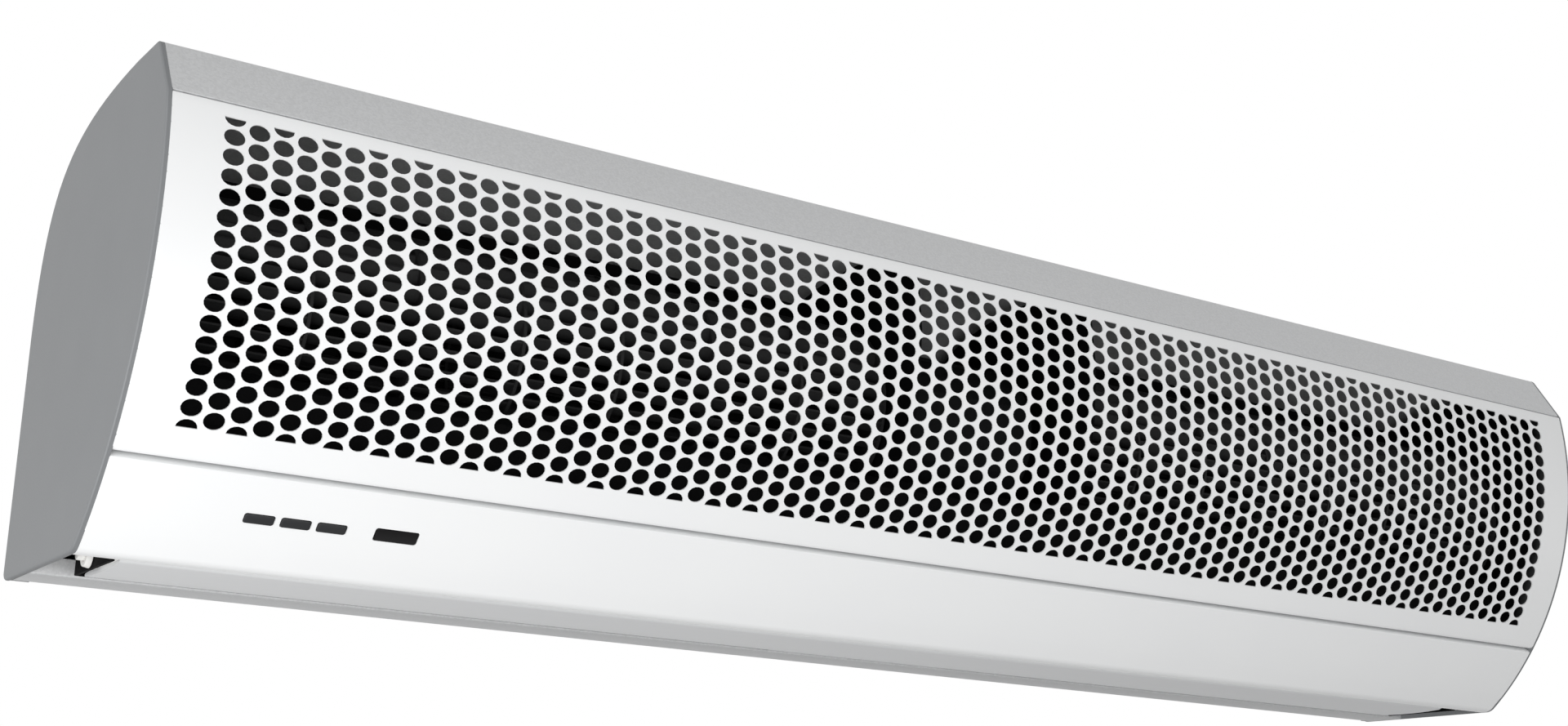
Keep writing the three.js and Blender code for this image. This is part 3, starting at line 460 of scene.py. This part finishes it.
def perforatedTile(bm, x, y):  # one hole in its share of the sheet
    before = set(bm.verts)
    made = bmesh.ops.create_grid(bm, x_segments=4, y_segments=4, size=0.5)
    middle = [v for v in made["verts"] if max(abs(v.co.x), abs(v.co.y)) < 0.49]
    bmesh.ops.delete(bm, geom=middle, context="VERTS")
    rim = [v for v in bm.verts if v not in before]
    bmesh.ops.scale(bm, verts=rim, vec=(grille["columnPitch"], grille["rowPitch"], 1))
    hole = bmesh.ops.create_circle(bm, segments=grille["sides"], radius=0.5)["verts"]
    bmesh.ops.scale(bm, verts=hole, vec=(grille["holeWidth"], grille["holeHeight"], 1))
    both = set(rim) | set(hole)
    edges = [e for e in bm.edges if e.verts[0] in both and e.verts[1] in both]
    bmesh.ops.bridge_loops(bm, edges=edges)
    bmesh.ops.translate(bm, verts=list(both), vec=(x, y, 0))


def borderOut(bm, axis, at, moves):  # widens the sheet from its open edges on one line
    edges = [e for e in bm.edges if len(e.link_faces) < 2
             and all(abs(v.co[axis] - at) < 1e-5 for v in e.verts)]
    for move in moves:
        made = bmesh.ops.extrude_edge_only(bm, edges=edges)["geom"]
        verts = {g for g in made if isinstance(g, bmesh.types.BMVert)}
        bmesh.ops.translate(bm, verts=list(verts), vec=move)
        edges = [g for g in made if isinstance(g, bmesh.types.BMEdge) and set(g.verts) <= verts]


def foldMoves(radius, side, steps=4):  # a quarter turn inwards, and then the flange
    turns = [math.pi / 2 * i / steps for i in range(steps + 1)]
    moves = [
        (0, side * radius * (math.sin(b) - math.sin(a)), radius * (math.cos(b) - math.cos(a)))
        for a, b in zip(turns, turns[1:])
    ]
    return moves + [(0, 0, radius - sheet["flange"])]


def perforatedCover():
    g = grille
    fieldHeight = g["rows"] * g["rowPitch"]
    top, bottom = -g["topBorder"], -g["topBorder"] - fieldHeight
    length = (outline["coverTop"] - seamAngle) / degreesPerMetre - sheet["seamGap"] / 2
    firstX = -(g["columns"] - 1) / 2 * g["columnPitch"]
    bm = bmesh.new()
    for row in range(g["rows"] + 1):  # a column cut through its end holes
        perforatedTile(bm, firstX, top - row * g["rowPitch"])
    for y, side in ((top, 1), (bottom, -1)):
        bmesh.ops.bisect_plane(
            bm, geom=bm.verts[:] + bm.edges[:] + bm.faces[:], dist=1e-6,
            plane_co=(0, y, 0), plane_no=(0, side, 0), clear_outer=True,
        )
        flat = [v for v in bm.verts if abs(v.co.y - y) < 1e-5
                and abs(abs(v.co.x - firstX) - g["holeWidth"] / 2) < 1e-5]
        if len(flat) == 2:
            bm.edges.new(flat)  # the straight side of the half hole
    cutColumn = bm.verts[:] + bm.edges[:] + bm.faces[:]
    marker = set(cutColumn)
    for row in range(g["rows"]):
        perforatedTile(bm, firstX + g["columnPitch"], top - (row + 0.5) * g["rowPitch"])
    wholeColumn = [e for e in bm.verts[:] + bm.edges[:] + bm.faces[:] if e not in marker]
    for column in range(2, g["columns"]):
        source = cutColumn if column % 2 == 0 else wholeColumn
        copied = bmesh.ops.duplicate(bm, geom=source)["geom"]
        shift = (column - column % 2) * g["columnPitch"]
        verts = [v for v in copied if isinstance(v, bmesh.types.BMVert)]
        bmesh.ops.translate(bm, verts=verts, vec=(shift, 0, 0))
    bmesh.ops.remove_doubles(bm, verts=bm.verts[:], dist=1e-5)
    crisp, soft = sheet["crispFold"], sheet["seamFold"]
    borderOut(bm, 1, top, [(0, (-top - crisp) / 2, 0)] * 2 + foldMoves(crisp, 1))
    below = (bottom + length - soft) / 4
    borderOut(bm, 1, bottom, [(0, -below, 0)] * 4 + foldMoves(soft, -1))
    fieldEnd = g["columns"] / 2 * g["columnPitch"]
    for side in (-1, 1):
        borderOut(bm, 0, side * fieldEnd, [(side * (sheet["end"] - fieldEnd), 0, 0)])
    turnOutward(bm, (0, -length / 2, -1))
    # the inside faces take material 1, the black painted shade seen through the holes
    bm = walled(bm, g["wall"], 1)
    for vert in bm.verts:  # bends the flat sheet round the front arc
        angle = outline["coverTop"] + vert.co.y * degreesPerMetre
        bent = arcPoint(angle, -vert.co.z)
        vert.co = (vert.co.x, bent.y, bent.z)
    return meshOf(bm, "perforated_cover", 30)


# the cover's inside faces take the black painted shade
place(perforatedCover(), "perforated_cover", "housing", [whiteCoat, paintedShadeBlack],
      "white_paint", ["front_cover"])
print("perforated cover made")

# ---- lower front panel ----

panel = {
    "controlHeight": 0.0281,  # above the foot, along the arc
    "arcSteps": 40,
    "buttonSlot": (0.0136, 0.0050),
    "windowSlot": (0.0206, 0.0066),
    "slotCorner": 0.0012,
    "cutDepth": 0.004,  # each way through the sheet
    "straightAbove": 4,  # degrees of arc above the foot that run straight
}
controlAngle = underAngle + panel["controlHeight"] * degreesPerMetre
controlPlace = arcPoint(controlAngle)
ontoPanel = Matrix.Translation(controlPlace) @ Matrix.Rotation(
    math.radians(-controlAngle), 4, "X",
)  # from a flat frame: X along, Y inwards, Z up the panel


def middleOf(node):
    low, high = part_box(node)
    return (low + high) / 2


def slotCutter(x, size):
    width, height = size
    bm = bmesh.new()
    block(bm, (x - width / 2, -panel["cutDepth"], -height / 2),
          (x + width / 2, panel["cutDepth"], height / 2))
    through = [e for e in bm.edges if abs((e.verts[0].co - e.verts[1].co).y) > 0.001]
    bmesh.ops.bevel(
        bm, geom=through, offset=panel["slotCorner"], offset_type="OFFSET", segments=4,
        profile=0.5, affect="EDGES", material=-1,
    )
    bmesh.ops.transform(bm, matrix=ontoPanel, verts=bm.verts[:])
    return meshOf(bm, "slot")


buttonNodes = ["power_button", "high_speed_button", "low_speed_button"]


def lowerPanel():
    bm = bmesh.new()
    seam = seamAngle - sheet["seamGap"] / 2 * degreesPerMetre
    straight = underAngle + panel["straightAbove"]
    flange, start = arcPoint(seam, sheet["flange"]), arcPoint(seam)
    (_, first), _ = chain(bm, [flange, start])
    last = sweepArc(bm, first, outline["arcCentre"], seam - straight, panel["arcSteps"])
    foot = arcPoint(underAngle)
    lip = Vector((0, outlet["frontY"], outline["bottomZ"]))
    rest = [foot, lip, lip + Vector((0, 0, sheet["flange"]))]
    verts, _ = chain(bm, rest)
    bm.edges.new((last, verts[0]))
    drawAlongX(bm, -sheet["end"], sheet["end"])
    foldAt(bm, start, sheet["seamFold"])
    foldAt(bm, foot, outline["footRadius"], 8)
    foldAt(bm, lip, sheet["crispFold"])
    turnOutward(bm, (0, -0.05, 0))
    mesh = meshOf(walled(bm, sheet["wall"]), "lower_panel", 30)
    cutters = [slotCutter(middleOf(node).x, panel["buttonSlot"]) for node in buttonNodes]
    cutters.append(slotCutter(middleOf("receiver_window").x, panel["windowSlot"]))
    return cutWith(mesh, cutters)


place(lowerPanel(), "lower_panel", "housing", [whiteCoat], "white_paint", ["lower_front_panel"])


pushKey = {
    "stem": 0.0018,  # how far the key's body reaches in
    "flange": 0.0012,  # its stop behind the sheet, wider than the slot
    "flangeFrom": 0.0016,
    "flangeTo": 0.0026,
}


def keyOf(node, face, proud, corner, dome):  # a push button or lens, its face a little crowned
    x = middleOf(node).x
    width, height = face
    bm = bmesh.new()
    block(bm, (x - width / 2, -proud, -height / 2), (x + width / 2, pushKey["stem"], height / 2))
    upright = [e for e in bm.edges if abs((e.verts[0].co - e.verts[1].co).y) > 0.0005]
    bmesh.ops.bevel(bm, geom=upright, offset=corner, offset_type="OFFSET", segments=5,
                    profile=0.5, affect="EDGES", material=-1)
    front = [f for f in bm.faces if f.normal.y < -0.9]
    bmesh.ops.inset_region(bm, faces=front, thickness=dome, depth=dome * 0.5)
    across, up = width / 2 + pushKey["flange"], height / 2 + pushKey["flange"]
    block(bm, (x - across, pushKey["flangeFrom"], -up), (x + across, pushKey["flangeTo"], up))
    bmesh.ops.transform(bm, matrix=ontoPanel, verts=bm.verts[:])
    return bm


for node in buttonNodes:
    bm = keyOf(node, (0.013, 0.0044), 0.0004, 0.001, 0.0004)
    place(meshOf(bm, node), node + "_cap", node + "_body", [buttonPlastic],
          "button_plastic", [node])
bm = keyOf("receiver_window", (0.02, 0.006), 0.0001, 0.001, 0.0003)
place(meshOf(bm, "receiver_lens"), "receiver_lens", "housing", [smokedLens],
      "window_plastic", ["receiver_window"])
print("lower panel made")

# ---- rear casing ----

casing = {
    "backY": -0.004,
    "hookSlots": (-0.26, -0.12, 0.12, 0.26),
    "hookSlotSize": (0.016, 0.015),
    "hookSlotTop": 0.032,
    "cableHole": 0.010,
    "cableHoleSides": 40,
    "cutFrom": -0.008,  # Y of the slots' cutters
    "cutTo": 0.001,
}


def rearCasing():
    o = outline
    along = (topFront - coverEdge).normalized()
    edge = coverEdge + along * sheet["gap"]
    back = [Vector((0, min(p.y, casing["backY"]), p.z)) for p in backCurve()]
    firstFlat = next(i for i, p in enumerate(back) if p.y > casing["backY"] - 1e-6)
    heel = Vector((0, casing["backY"], o["bottomZ"]))
    lip = Vector((0, outlet["rearY"], o["bottomZ"]))
    bm = bmesh.new()
    chain(bm, [
        edge + Vector((0, sheet["flange"], 0)), edge, topFront,
        *back[:firstFlat + 1], heel, lip, lip + Vector((0, 0, sheet["flange"])),
    ])
    drawAlongX(bm, -sheet["end"], sheet["end"])
    foldAt(bm, edge, sheet["crispFold"])
    foldAt(bm, topFront, o["topCornerRadius"], 6)
    foldAt(bm, heel, o["heelRadius"], 6)
    foldAt(bm, lip, sheet["crispFold"])
    turnOutward(bm, (0, -0.08, 0))
    mesh = meshOf(walled(bm, sheet["wall"], 1), "casing_shell", 30)
    width, height = casing["hookSlotSize"]
    cutters = []
    for x in casing["hookSlots"]:
        cutter = bmesh.new()
        block(cutter, (x - width / 2, casing["cutFrom"], casing["hookSlotTop"] - height),
              (x + width / 2, casing["cutTo"], casing["hookSlotTop"]))
        cutters.append(meshOf(cutter, "slot"))
    cable = middleOf("cable_grommet")
    cutter = bmesh.new()
    bmesh.ops.create_cone(cutter, segments=casing["cableHoleSides"], radius1=casing["cableHole"],
                          radius2=casing["cableHole"], depth=0.02, cap_ends=True)
    turn = Matrix.Translation(cable) @ Matrix.Rotation(math.pi / 2, 4, "X")
    bmesh.ops.transform(cutter, matrix=turn, verts=cutter.verts[:])
    cutters.append(meshOf(cutter, "hole"))
    return cutWith(mesh, cutters)


# the casing's inside faces take the black painted shade
place(rearCasing(), "casing_shell", "housing", [greyCoat, paintedShadeBlack],
      "silver_paint", ["rear_casing"])
print("casing made")

# ---- end caps ----

cap = {
    "rim": 0.002,
    "edge": 0.0012,
    "wall": 0.0025,
    "spigotInset": 0.0015,
    "spigotWall": 0.0018,
    "spigotLength": 0.008,
    "recess": 0.0055,  # holds the spigot off the wall plate
    "arcSteps": 28,
}


def capPrism(inset, recess, fromX, toX):  # the end outline, drawn in and given a length
    o = outline
    drop = (underAngle - o["coverTop"]) / cap["arcSteps"]
    arc = [arcPoint(o["coverTop"] + drop * i) for i in range(cap["arcSteps"] + 1)]
    points = [Vector((0, 0, o["bottomZ"])), *reversed(backCurve()), topFront, *arc]
    bm = bmesh.new()
    verts, _ = chain(bm, points, closed=True)
    bmesh.ops.contextual_create(bm, geom=verts)
    corners = [(0, o["heelRadius"]), (len(points) - len(arc) - 1, o["topCornerRadius"]),
               (len(points) - 1, o["footRadius"])]
    for index, radius in corners:
        a, b, c = points[index - 1], points[index], points[(index + 1) % len(points)]
        half = (a - b).angle(c - b) / 2
        bmesh.ops.bevel(bm, geom=[verts[index]], offset=radius / math.tan(half),
                        offset_type="OFFSET", segments=6, profile=0.5,
                        affect="VERTICES", material=-1)
    if inset:
        ring = bmesh.ops.inset_region(bm, faces=bm.faces[:], thickness=inset)["faces"]
        bmesh.ops.delete(bm, geom=ring, context="FACES")
    for vert in bm.verts:
        vert.co.y = min(vert.co.y, -recess)
        vert.co.x = fromX
    bmesh.ops.dissolve_degenerate(bm, edges=bm.edges[:], dist=1e-4)
    made = bmesh.ops.extrude_face_region(bm, geom=bm.faces[:], use_keep_orig=True)["geom"]
    far = [g for g in made if isinstance(g, bmesh.types.BMVert)]
    bmesh.ops.translate(bm, verts=far, vec=(toX - fromX, 0, 0))
    bmesh.ops.recalc_face_normals(bm, faces=bm.faces[:])
    return bm


def endCap(side):
    c = cap
    end, rimStart = capHigh.x, capHigh.x - c["rim"]
    shell = capPrism(0, 0, rimStart, end)
    edges = [e for e in shell.edges if all(v.co.x > end - 1e-5 for v in e.verts)]
    bmesh.ops.bevel(shell, geom=edges, offset=c["edge"], offset_type="OFFSET", segments=6,
                    profile=0.5, affect="EDGES", material=-1)
    inner = c["spigotInset"] + c["spigotWall"]
    spigot = capPrism(c["spigotInset"], c["recess"], rimStart - c["spigotLength"],
                      rimStart + c["wall"] / 2)
    hollow = capPrism(inner, c["recess"] + c["spigotWall"], rimStart - 2 * c["spigotLength"],
                      end - c["wall"])
    body = cutWith(meshOf(shell, "end_cap"), [meshOf(spigot, "spigot")], "UNION")
    mesh = cutWith(body, [meshOf(hollow, "hollow")])
    bm = bmesh.new()
    bm.from_mesh(mesh)
    return meshOf(onSide(bm, side), "end_cap", 30)


for name, side in (("left", -1), ("right", 1)):
    place(endCap(side), f"end_cap_{name}_moulding", "housing", [capMoulding],
          "cap_plastic", [f"end_cap_{name}"])
print("end caps made")

# ---- outlet louvre ----

louvre = {
    "nose": 0.0034,  # radius of the round front edge
    "noseLift": 0.0045,  # its centre, above the slat's lowest line
    "noseLeaves": -94,  # where the underside leaves the nose, degrees from +Y
    "noseJoins": 75,
    "wall": 0.0014,
    "rearLift": 0.0007,
    "under": ((0.015, -0.0011), (0.032, -0.0013)),  # curve handles, off the curve's start
    "over": ((-0.018, 0.0015), (-0.0345, 0.003)),
    "pivot": 0.0025,
    "lever": 0.0043,
    "leverWall": 0.002,
    "leverTip": 0.0026,
    "softEdge": 0.0004,
    "bushLip": 0.0015,  # the bush's flange over its neck
    "bushFlange": 0.001,
    "bushLead": 0.0006,  # the taper at its inner end
    "bushSides": 40,
}
louvreLow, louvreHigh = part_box("outlet_louvre")
louvreAxis = middleOf("louvre_bush_right")
bead = Vector((0, louvreLow.y + louvre["nose"], louvreLow.z + louvre["noseLift"]))


def onBead(angle):
    turn = math.radians(angle)
    return bead + louvre["nose"] * Vector((0, math.cos(turn), math.sin(turn)))


def bent(start, handles, end, steps=12):
    first, second = (Vector((0, y, z)) for y, z in handles)
    return [Vector(p) for p in interpolate_bezier(start, start + first, start + second, end, steps)]


def louvreBlade():
    v = louvre
    end = louvreHigh.x
    rear = Vector((0, louvreHigh.y - v["wall"] / 2, louvreLow.z + v["rearLift"]))
    bm = bmesh.new()
    under, _ = chain(bm, bent(onBead(v["noseLeaves"]), v["under"], rear))
    sweepArc(bm, under[-1], (rear.y, rear.z + v["wall"] / 2), 180, 8)
    top = rear + Vector((0, 0, v["wall"]))
    over, _ = chain(bm, bent(top, v["over"], onBead(v["noseJoins"])))
    sweepArc(bm, over[-1], bead.yz, 360 + v["noseLeaves"] - v["noseJoins"], 32)
    bmesh.ops.remove_doubles(bm, verts=bm.verts[:], dist=1e-6)
    prism(bm, -end, end)
    spine = moved(rod(1e-4 - end, end - 1e-4, v["pivot"]), (0, *louvreAxis.yz))
    return cutWith(meshOf(bm, "blade", 30), [meshOf(spine, "spine")], "UNION")


def louvrePivot(side):  # the nylon lever on the blade's end, and its pin
    v = louvre
    low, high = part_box("louvre_pivot_right")
    tip = bead + Vector((0, v["wall"] / 2, 0))
    axis = louvreAxis
    bm = bmesh.new()
    first = bm.verts.new((0, tip.y, tip.z + v["leverTip"]))
    below = sweepArc(bm, first, tip.yz, 180, 14)
    second = bm.verts.new((0, axis.y, axis.z - v["lever"]))
    above = sweepArc(bm, second, axis.yz, 180, 14)
    bm.edges.new((below, second))
    bm.edges.new((above, first))
    prism(bm, low.x, low.x + v["leverWall"])
    moulded(bm, v["softEdge"])
    pin = moved(rod(low.x + v["softEdge"], high.x, v["pivot"]), (0, *axis.yz))
    moulded(pin, v["softEdge"])
    mesh = cutWith(meshOf(bm, "lever"), [meshOf(pin, "pin")], "UNION")
    bm = bmesh.new()
    bm.from_mesh(mesh)
    return meshOf(onSide(bm, side), "louvre_pivot", 30)


def flangedBush(side):
    low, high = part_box("louvre_bush_right")
    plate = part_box("bearing_bracket_right")[1].x
    flange = (high.y - low.y) / 2
    bore, neck, gap = louvre["pivot"] + sheet["gap"], flange - louvre["bushLip"], sheet["gap"]
    inside = low.x + louvre["bushFlange"]
    bm = turned([
        (low.x, bore), (low.x, flange), (inside, flange), (inside, neck),
        (plate + gap, neck), (plate + gap, flange),
        (high.x, flange - louvre["bushLead"]), (high.x, bore),
    ], louvre["bushSides"])
    moulded(bm, louvre["softEdge"] / 2)
    return meshOf(onSide(moved(bm, (0, *louvreAxis.yz)), side), "louvre_bush", 30)


place(louvreBlade(), "louvre_blade", "louvre", [louvreFinish], "louvre_aluminium",
      ["outlet_louvre"])
for name, side in (("left", -1), ("right", 1)):
    place(louvrePivot(side), f"louvre_lever_{name}", "louvre", [naturalNylon],
          "nylon", [f"louvre_pivot_{name}"])
    place(flangedBush(side), f"louvre_bushing_{name}", "housing", [naturalNylon],
          "nylon", [f"louvre_bush_{name}"])
print("louvre made")

# ---- impellers ----

impeller = {
    "blades": 30,
    "sections": 7,
    "wall": 0.0009,
    "depth": 0.0095,  # of a blade, radially
    "curve": 0.0021,
    "lean": 0.0022,  # of a blade's two ends, before and behind its radius
    "bladePoints": 7,
    "skew": 4.0,  # degrees from one section to the next
    "ring": 0.0016,
    "ringInset": 0.0012,  # the rings' bore, inside the blades
    "ringSides": 60,
    "solidSides": 18,  # facets of the solid, whose box is a little narrower than its circle
    "clearance": 0.0003,
    "hub": 0.0133,
    "boss": 0.0088,
    "bossLength": 0.008,
    "bore": 0.0043,
}


def bladeOutline(bm, outer):
    g = impeller
    inner = outer - g["depth"]
    curve = interpolate_bezier(
        Vector((0, -g["lean"], inner)),
        Vector((0, -g["curve"] - g["lean"], inner + g["depth"] * 0.4)),
        Vector((0, -g["curve"], inner + g["depth"] * 0.7)),
        Vector((0, g["lean"], outer)), g["bladePoints"],
    )
    _, edges = chain(bm, curve)
    made = bmesh.ops.extrude_edge_only(bm, edges=edges)["geom"]
    far = [v for v in made if isinstance(v, bmesh.types.BMVert)]
    bmesh.ops.translate(bm, verts=far, vec=(0, g["wall"], 0))


def impellerWheel(side):
    g = impeller
    low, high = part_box("impeller_right")
    outer = (high.y - low.y) / 2 / math.cos(math.pi / g["solidSides"]) - g["clearance"]
    pitch = (high.x - low.x) / g["sections"]
    bm = bmesh.new()
    for section in range(g["sections"]):
        before = set(bm.faces)
        bladeOutline(bm, outer - g["ring"] / 4)
        made = [f for f in bm.faces if f not in before]
        shape = list({v for f in made for v in f.verts})
        bmesh.ops.translate(bm, verts=shape, vec=(low.x + section * pitch + g["ring"] / 2, 0, 0))
        grown = bmesh.ops.extrude_face_region(bm, geom=made, use_keep_orig=True)["geom"]
        far = [v for v in grown if isinstance(v, bmesh.types.BMVert)]
        bmesh.ops.translate(bm, verts=far, vec=(pitch, 0, 0))
        blade = [f for f in bm.faces if f not in before]
        verts = list({v for f in blade for v in f.verts})
        turn = Matrix.Rotation(math.radians(section * g["skew"]), 4, "X")
        bmesh.ops.transform(bm, matrix=turn, verts=verts)
        bmesh.ops.recalc_face_normals(bm, faces=blade)
        for copy in range(1, g["blades"]):
            whole = blade + [e for e in {e for f in blade for e in f.edges}] + verts
            twin = bmesh.ops.duplicate(bm, geom=whole)["geom"]
            bmesh.ops.transform(
                bm, matrix=Matrix.Rotation(2 * math.pi * copy / g["blades"], 4, "X"),
                verts=[v for v in twin if isinstance(v, bmesh.types.BMVert)],
            )
    inner = outer - g["depth"] - g["ringInset"]
    for ring in range(g["sections"] + 1):
        x = min(low.x + ring * pitch, high.x - g["ring"])
        bore = g["hub"] if ring == 0 else inner
        profile = [(x, bore), (x, outer), (x + g["ring"], outer), (x + g["ring"], bore)]
        if ring == g["sections"]:
            profile = [
                (x - g["bossLength"], g["bore"]), (x - g["bossLength"], g["boss"]),
                (x, g["boss"]), (x, outer), (high.x, outer), (high.x, g["bore"]),
            ]
        scratch = bpy.data.meshes.new("ring")
        turned(profile, g["ringSides"]).to_mesh(scratch)
        bm.from_mesh(scratch)
    return meshOf(onSide(moved(bm, (0, *middleOf("impeller_right").yz)), side), "impeller", 30)


for name, side in (("left", -1), ("right", 1)):
    place(impellerWheel(side), f"impeller_wheel_{name}", "rotor", [fanPlastic],
          "fan_plastic", [f"impeller_{name}"])
print("impellers made")

# ---- fastenings at the back ----

screw = {
    "head": 0.003,
    "headHeight": 0.0017,
    "shank": 0.0015,
    "length": 0.008,
    "sides": 28,
    "recess": (0.0032, 0.0009, 0.0011),  # one arm of the cross: length, width, depth
}
grommet = {
    "bore": 0.006,
    "bead": 0.0124,
    "neck": 0.0097,
    "backTaper": 0.0006,
    "frontTaper": 0.0014,
    "softEdge": 0.0003,
    "segments": 48,
}
ontoBack = Matrix.Rotation(math.pi / 2, 4, "Z")  # from built along X to standing along Y


def panHead():  # one screw, its head to +X from the origin
    g = screw
    head, height = g["head"], g["headHeight"]
    bm = turned([
        (-g["length"], 0), (-g["length"] + 0.001, g["shank"]), (0, g["shank"]), (0, head),
        (height * 0.35, head), (height * 0.7, head * 0.86), (height * 0.94, head * 0.5),
        (height, 0),
    ], g["sides"], False)
    length, width, depth = g["recess"]
    arms = []
    for y, z in ((length, width), (width, length)):
        arm = bmesh.new()
        block(arm, (height - depth, -y / 2, -z / 2), (height + depth, y / 2, z / 2))
        arms.append(meshOf(arm, "arm"))
    return cutWith(meshOf(bm, "screw", 30), arms)


def backScrews(nodes):
    single = panHead()
    bm = bmesh.new()
    for node in nodes:
        low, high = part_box(node)
        before = set(bm.verts)
        bm.from_mesh(single)
        verts = [v for v in bm.verts if v not in before]
        middle = (low + high) / 2
        seat = Vector((middle.x, high.y - screw["headHeight"], middle.z))
        bmesh.ops.transform(bm, matrix=Matrix.Translation(seat) @ ontoBack, verts=verts)
    return meshOf(bm, "back_screws", 30)


def cableGrommet():
    g = grommet
    low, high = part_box("cable_grommet")
    neckTo = casing["backY"] + sheet["gap"]
    neckFrom = casing["backY"] - sheet["wall"] - sheet["gap"]
    bm = turned([
        (high.y, g["bore"]), (high.y, g["bead"] - g["backTaper"]), (neckTo, g["bead"]),
        (neckTo, g["neck"]), (neckFrom, g["neck"]), (neckFrom, g["bead"]),
        (low.y, g["bead"] - g["frontTaper"]), (low.y, g["bore"]),
    ], g["segments"])
    moulded(bm, g["softEdge"])
    bmesh.ops.transform(bm, matrix=ontoBack, verts=bm.verts[:])
    middle = middleOf("cable_grommet")
    return meshOf(moved(bm, (middle.x, 0, middle.z)), "cable_grommet", 40)


backKinds = ("cap_screw", "bracket_screw", "motor_screw")
backNodes = [n for n in frame["nodes"] if n.startswith(backKinds)]
place(backScrews(backNodes), "back_screws", "housing", [brightSteel], "bright_steel", backNodes)
place(cableGrommet(), "cable_sleeve", "housing", [softRubber], "rubber", ["cable_grommet"])
print("fastenings made")

# ---- camera, light and floor ----

view = {
    "place": (-0.6882, -0.9718, -0.2392),
    "yaw": 34.06,  # from +Y towards +X
    "pitch": 14.82,
    "roll": 1.306,
    "lens": 48.47,
}


def camera():
    data = bpy.data.cameras.new("camera")
    data.lens, data.sensor_width, data.clip_end = view["lens"], 36, 20
    obj = bpy.data.objects.new("camera", data)
    bpy.context.scene.collection.objects.link(obj)
    yaw, pitch, roll = (math.radians(view[k]) for k in ("yaw", "pitch", "roll"))
    turn = (
        Matrix.Rotation(-yaw, 4, "Z")
        @ Matrix.Rotation(math.pi / 2 + pitch, 4, "X")
        @ Matrix.Rotation(roll, 4, "Z")
    )
    obj.matrix_world = Matrix.Translation(view["place"]) @ turn
    bpy.context.scene.camera = obj


camera()

studio = {
    "floorZ": -2.2,  # the height at which such a unit hangs over a door
    "floorSize": 16,
    "key": {"place": (-1.6, -1.1, 1.0), "size": 1.2, "power": 5.4},
    "fill": {"place": (-0.5, -1.8, -0.6), "size": 1.2, "power": 11.8},
    "low": {"place": (-1.2, -0.6, -0.65), "size": 0.8, "power": 10},
    "ambient": 0.35,
}


def softLamp(name, place, size, power, target=(0, -0.08, 0)):
    data = bpy.data.lights.new(name, "AREA")
    data.energy, data.size = power, size
    obj = bpy.data.objects.new(name, data)
    bpy.context.scene.collection.objects.link(obj)
    aim = Vector(target) - Vector(place)
    obj.matrix_world = Matrix.Translation(place) @ aim.to_track_quat("-Z", "Y").to_matrix().to_4x4()


for name in ("key", "fill", "low"):
    softLamp(name, **studio[name])

world = bpy.data.worlds.new("studio")
bpy.context.scene.world = world
world.use_nodes = True
tree = world.node_tree
tree.nodes.clear()
path = addNode(tree, "ShaderNodeLightPath")
seen = path.outputs["Is Camera Ray"]
for kind in ("Is Glossy Ray", "Is Transmission Ray"):
    either = addNode(tree, "ShaderNodeMath", {"operation": "MAXIMUM"})
    tree.links.new(seen, either.inputs[0])
    tree.links.new(path.outputs[kind], either.inputs[1])
    seen = either.outputs[0]
dim = addNode(tree, "ShaderNodeBackground", {"Color": (1, 1, 1, 1), "Strength": studio["ambient"]})
white = addNode(tree, "ShaderNodeBackground", {"Color": (1, 1, 1, 1), "Strength": 1.0})
mix = addNode(tree, "ShaderNodeMixShader", links={"Fac": seen})
tree.links.new(dim.outputs[0], mix.inputs[1])
tree.links.new(white.outputs[0], mix.inputs[2])
addNode(tree, "ShaderNodeOutputWorld", links={"Surface": mix.outputs[0]})

bm = bmesh.new()
bmesh.ops.create_grid(bm, x_segments=1, y_segments=1, size=studio["floorSize"] / 2)
bmesh.ops.translate(bm, verts=bm.verts[:], vec=(0, 0, studio["floorZ"]))
floor = bpy.data.objects.new("floor", meshOf(bm, "floor"))
bpy.context.scene.collection.objects.link(floor)
floorPaint, _, shader, _ = newMaterial("pale studio floor", {"Roughness": 0.8})
shader.inputs["Base Color"].default_value = colour("#e9e9e9")
floor.data.materials.append(floorPaint)

bpy.context.scene.view_settings.view_transform = "Standard"
print("scene ready")
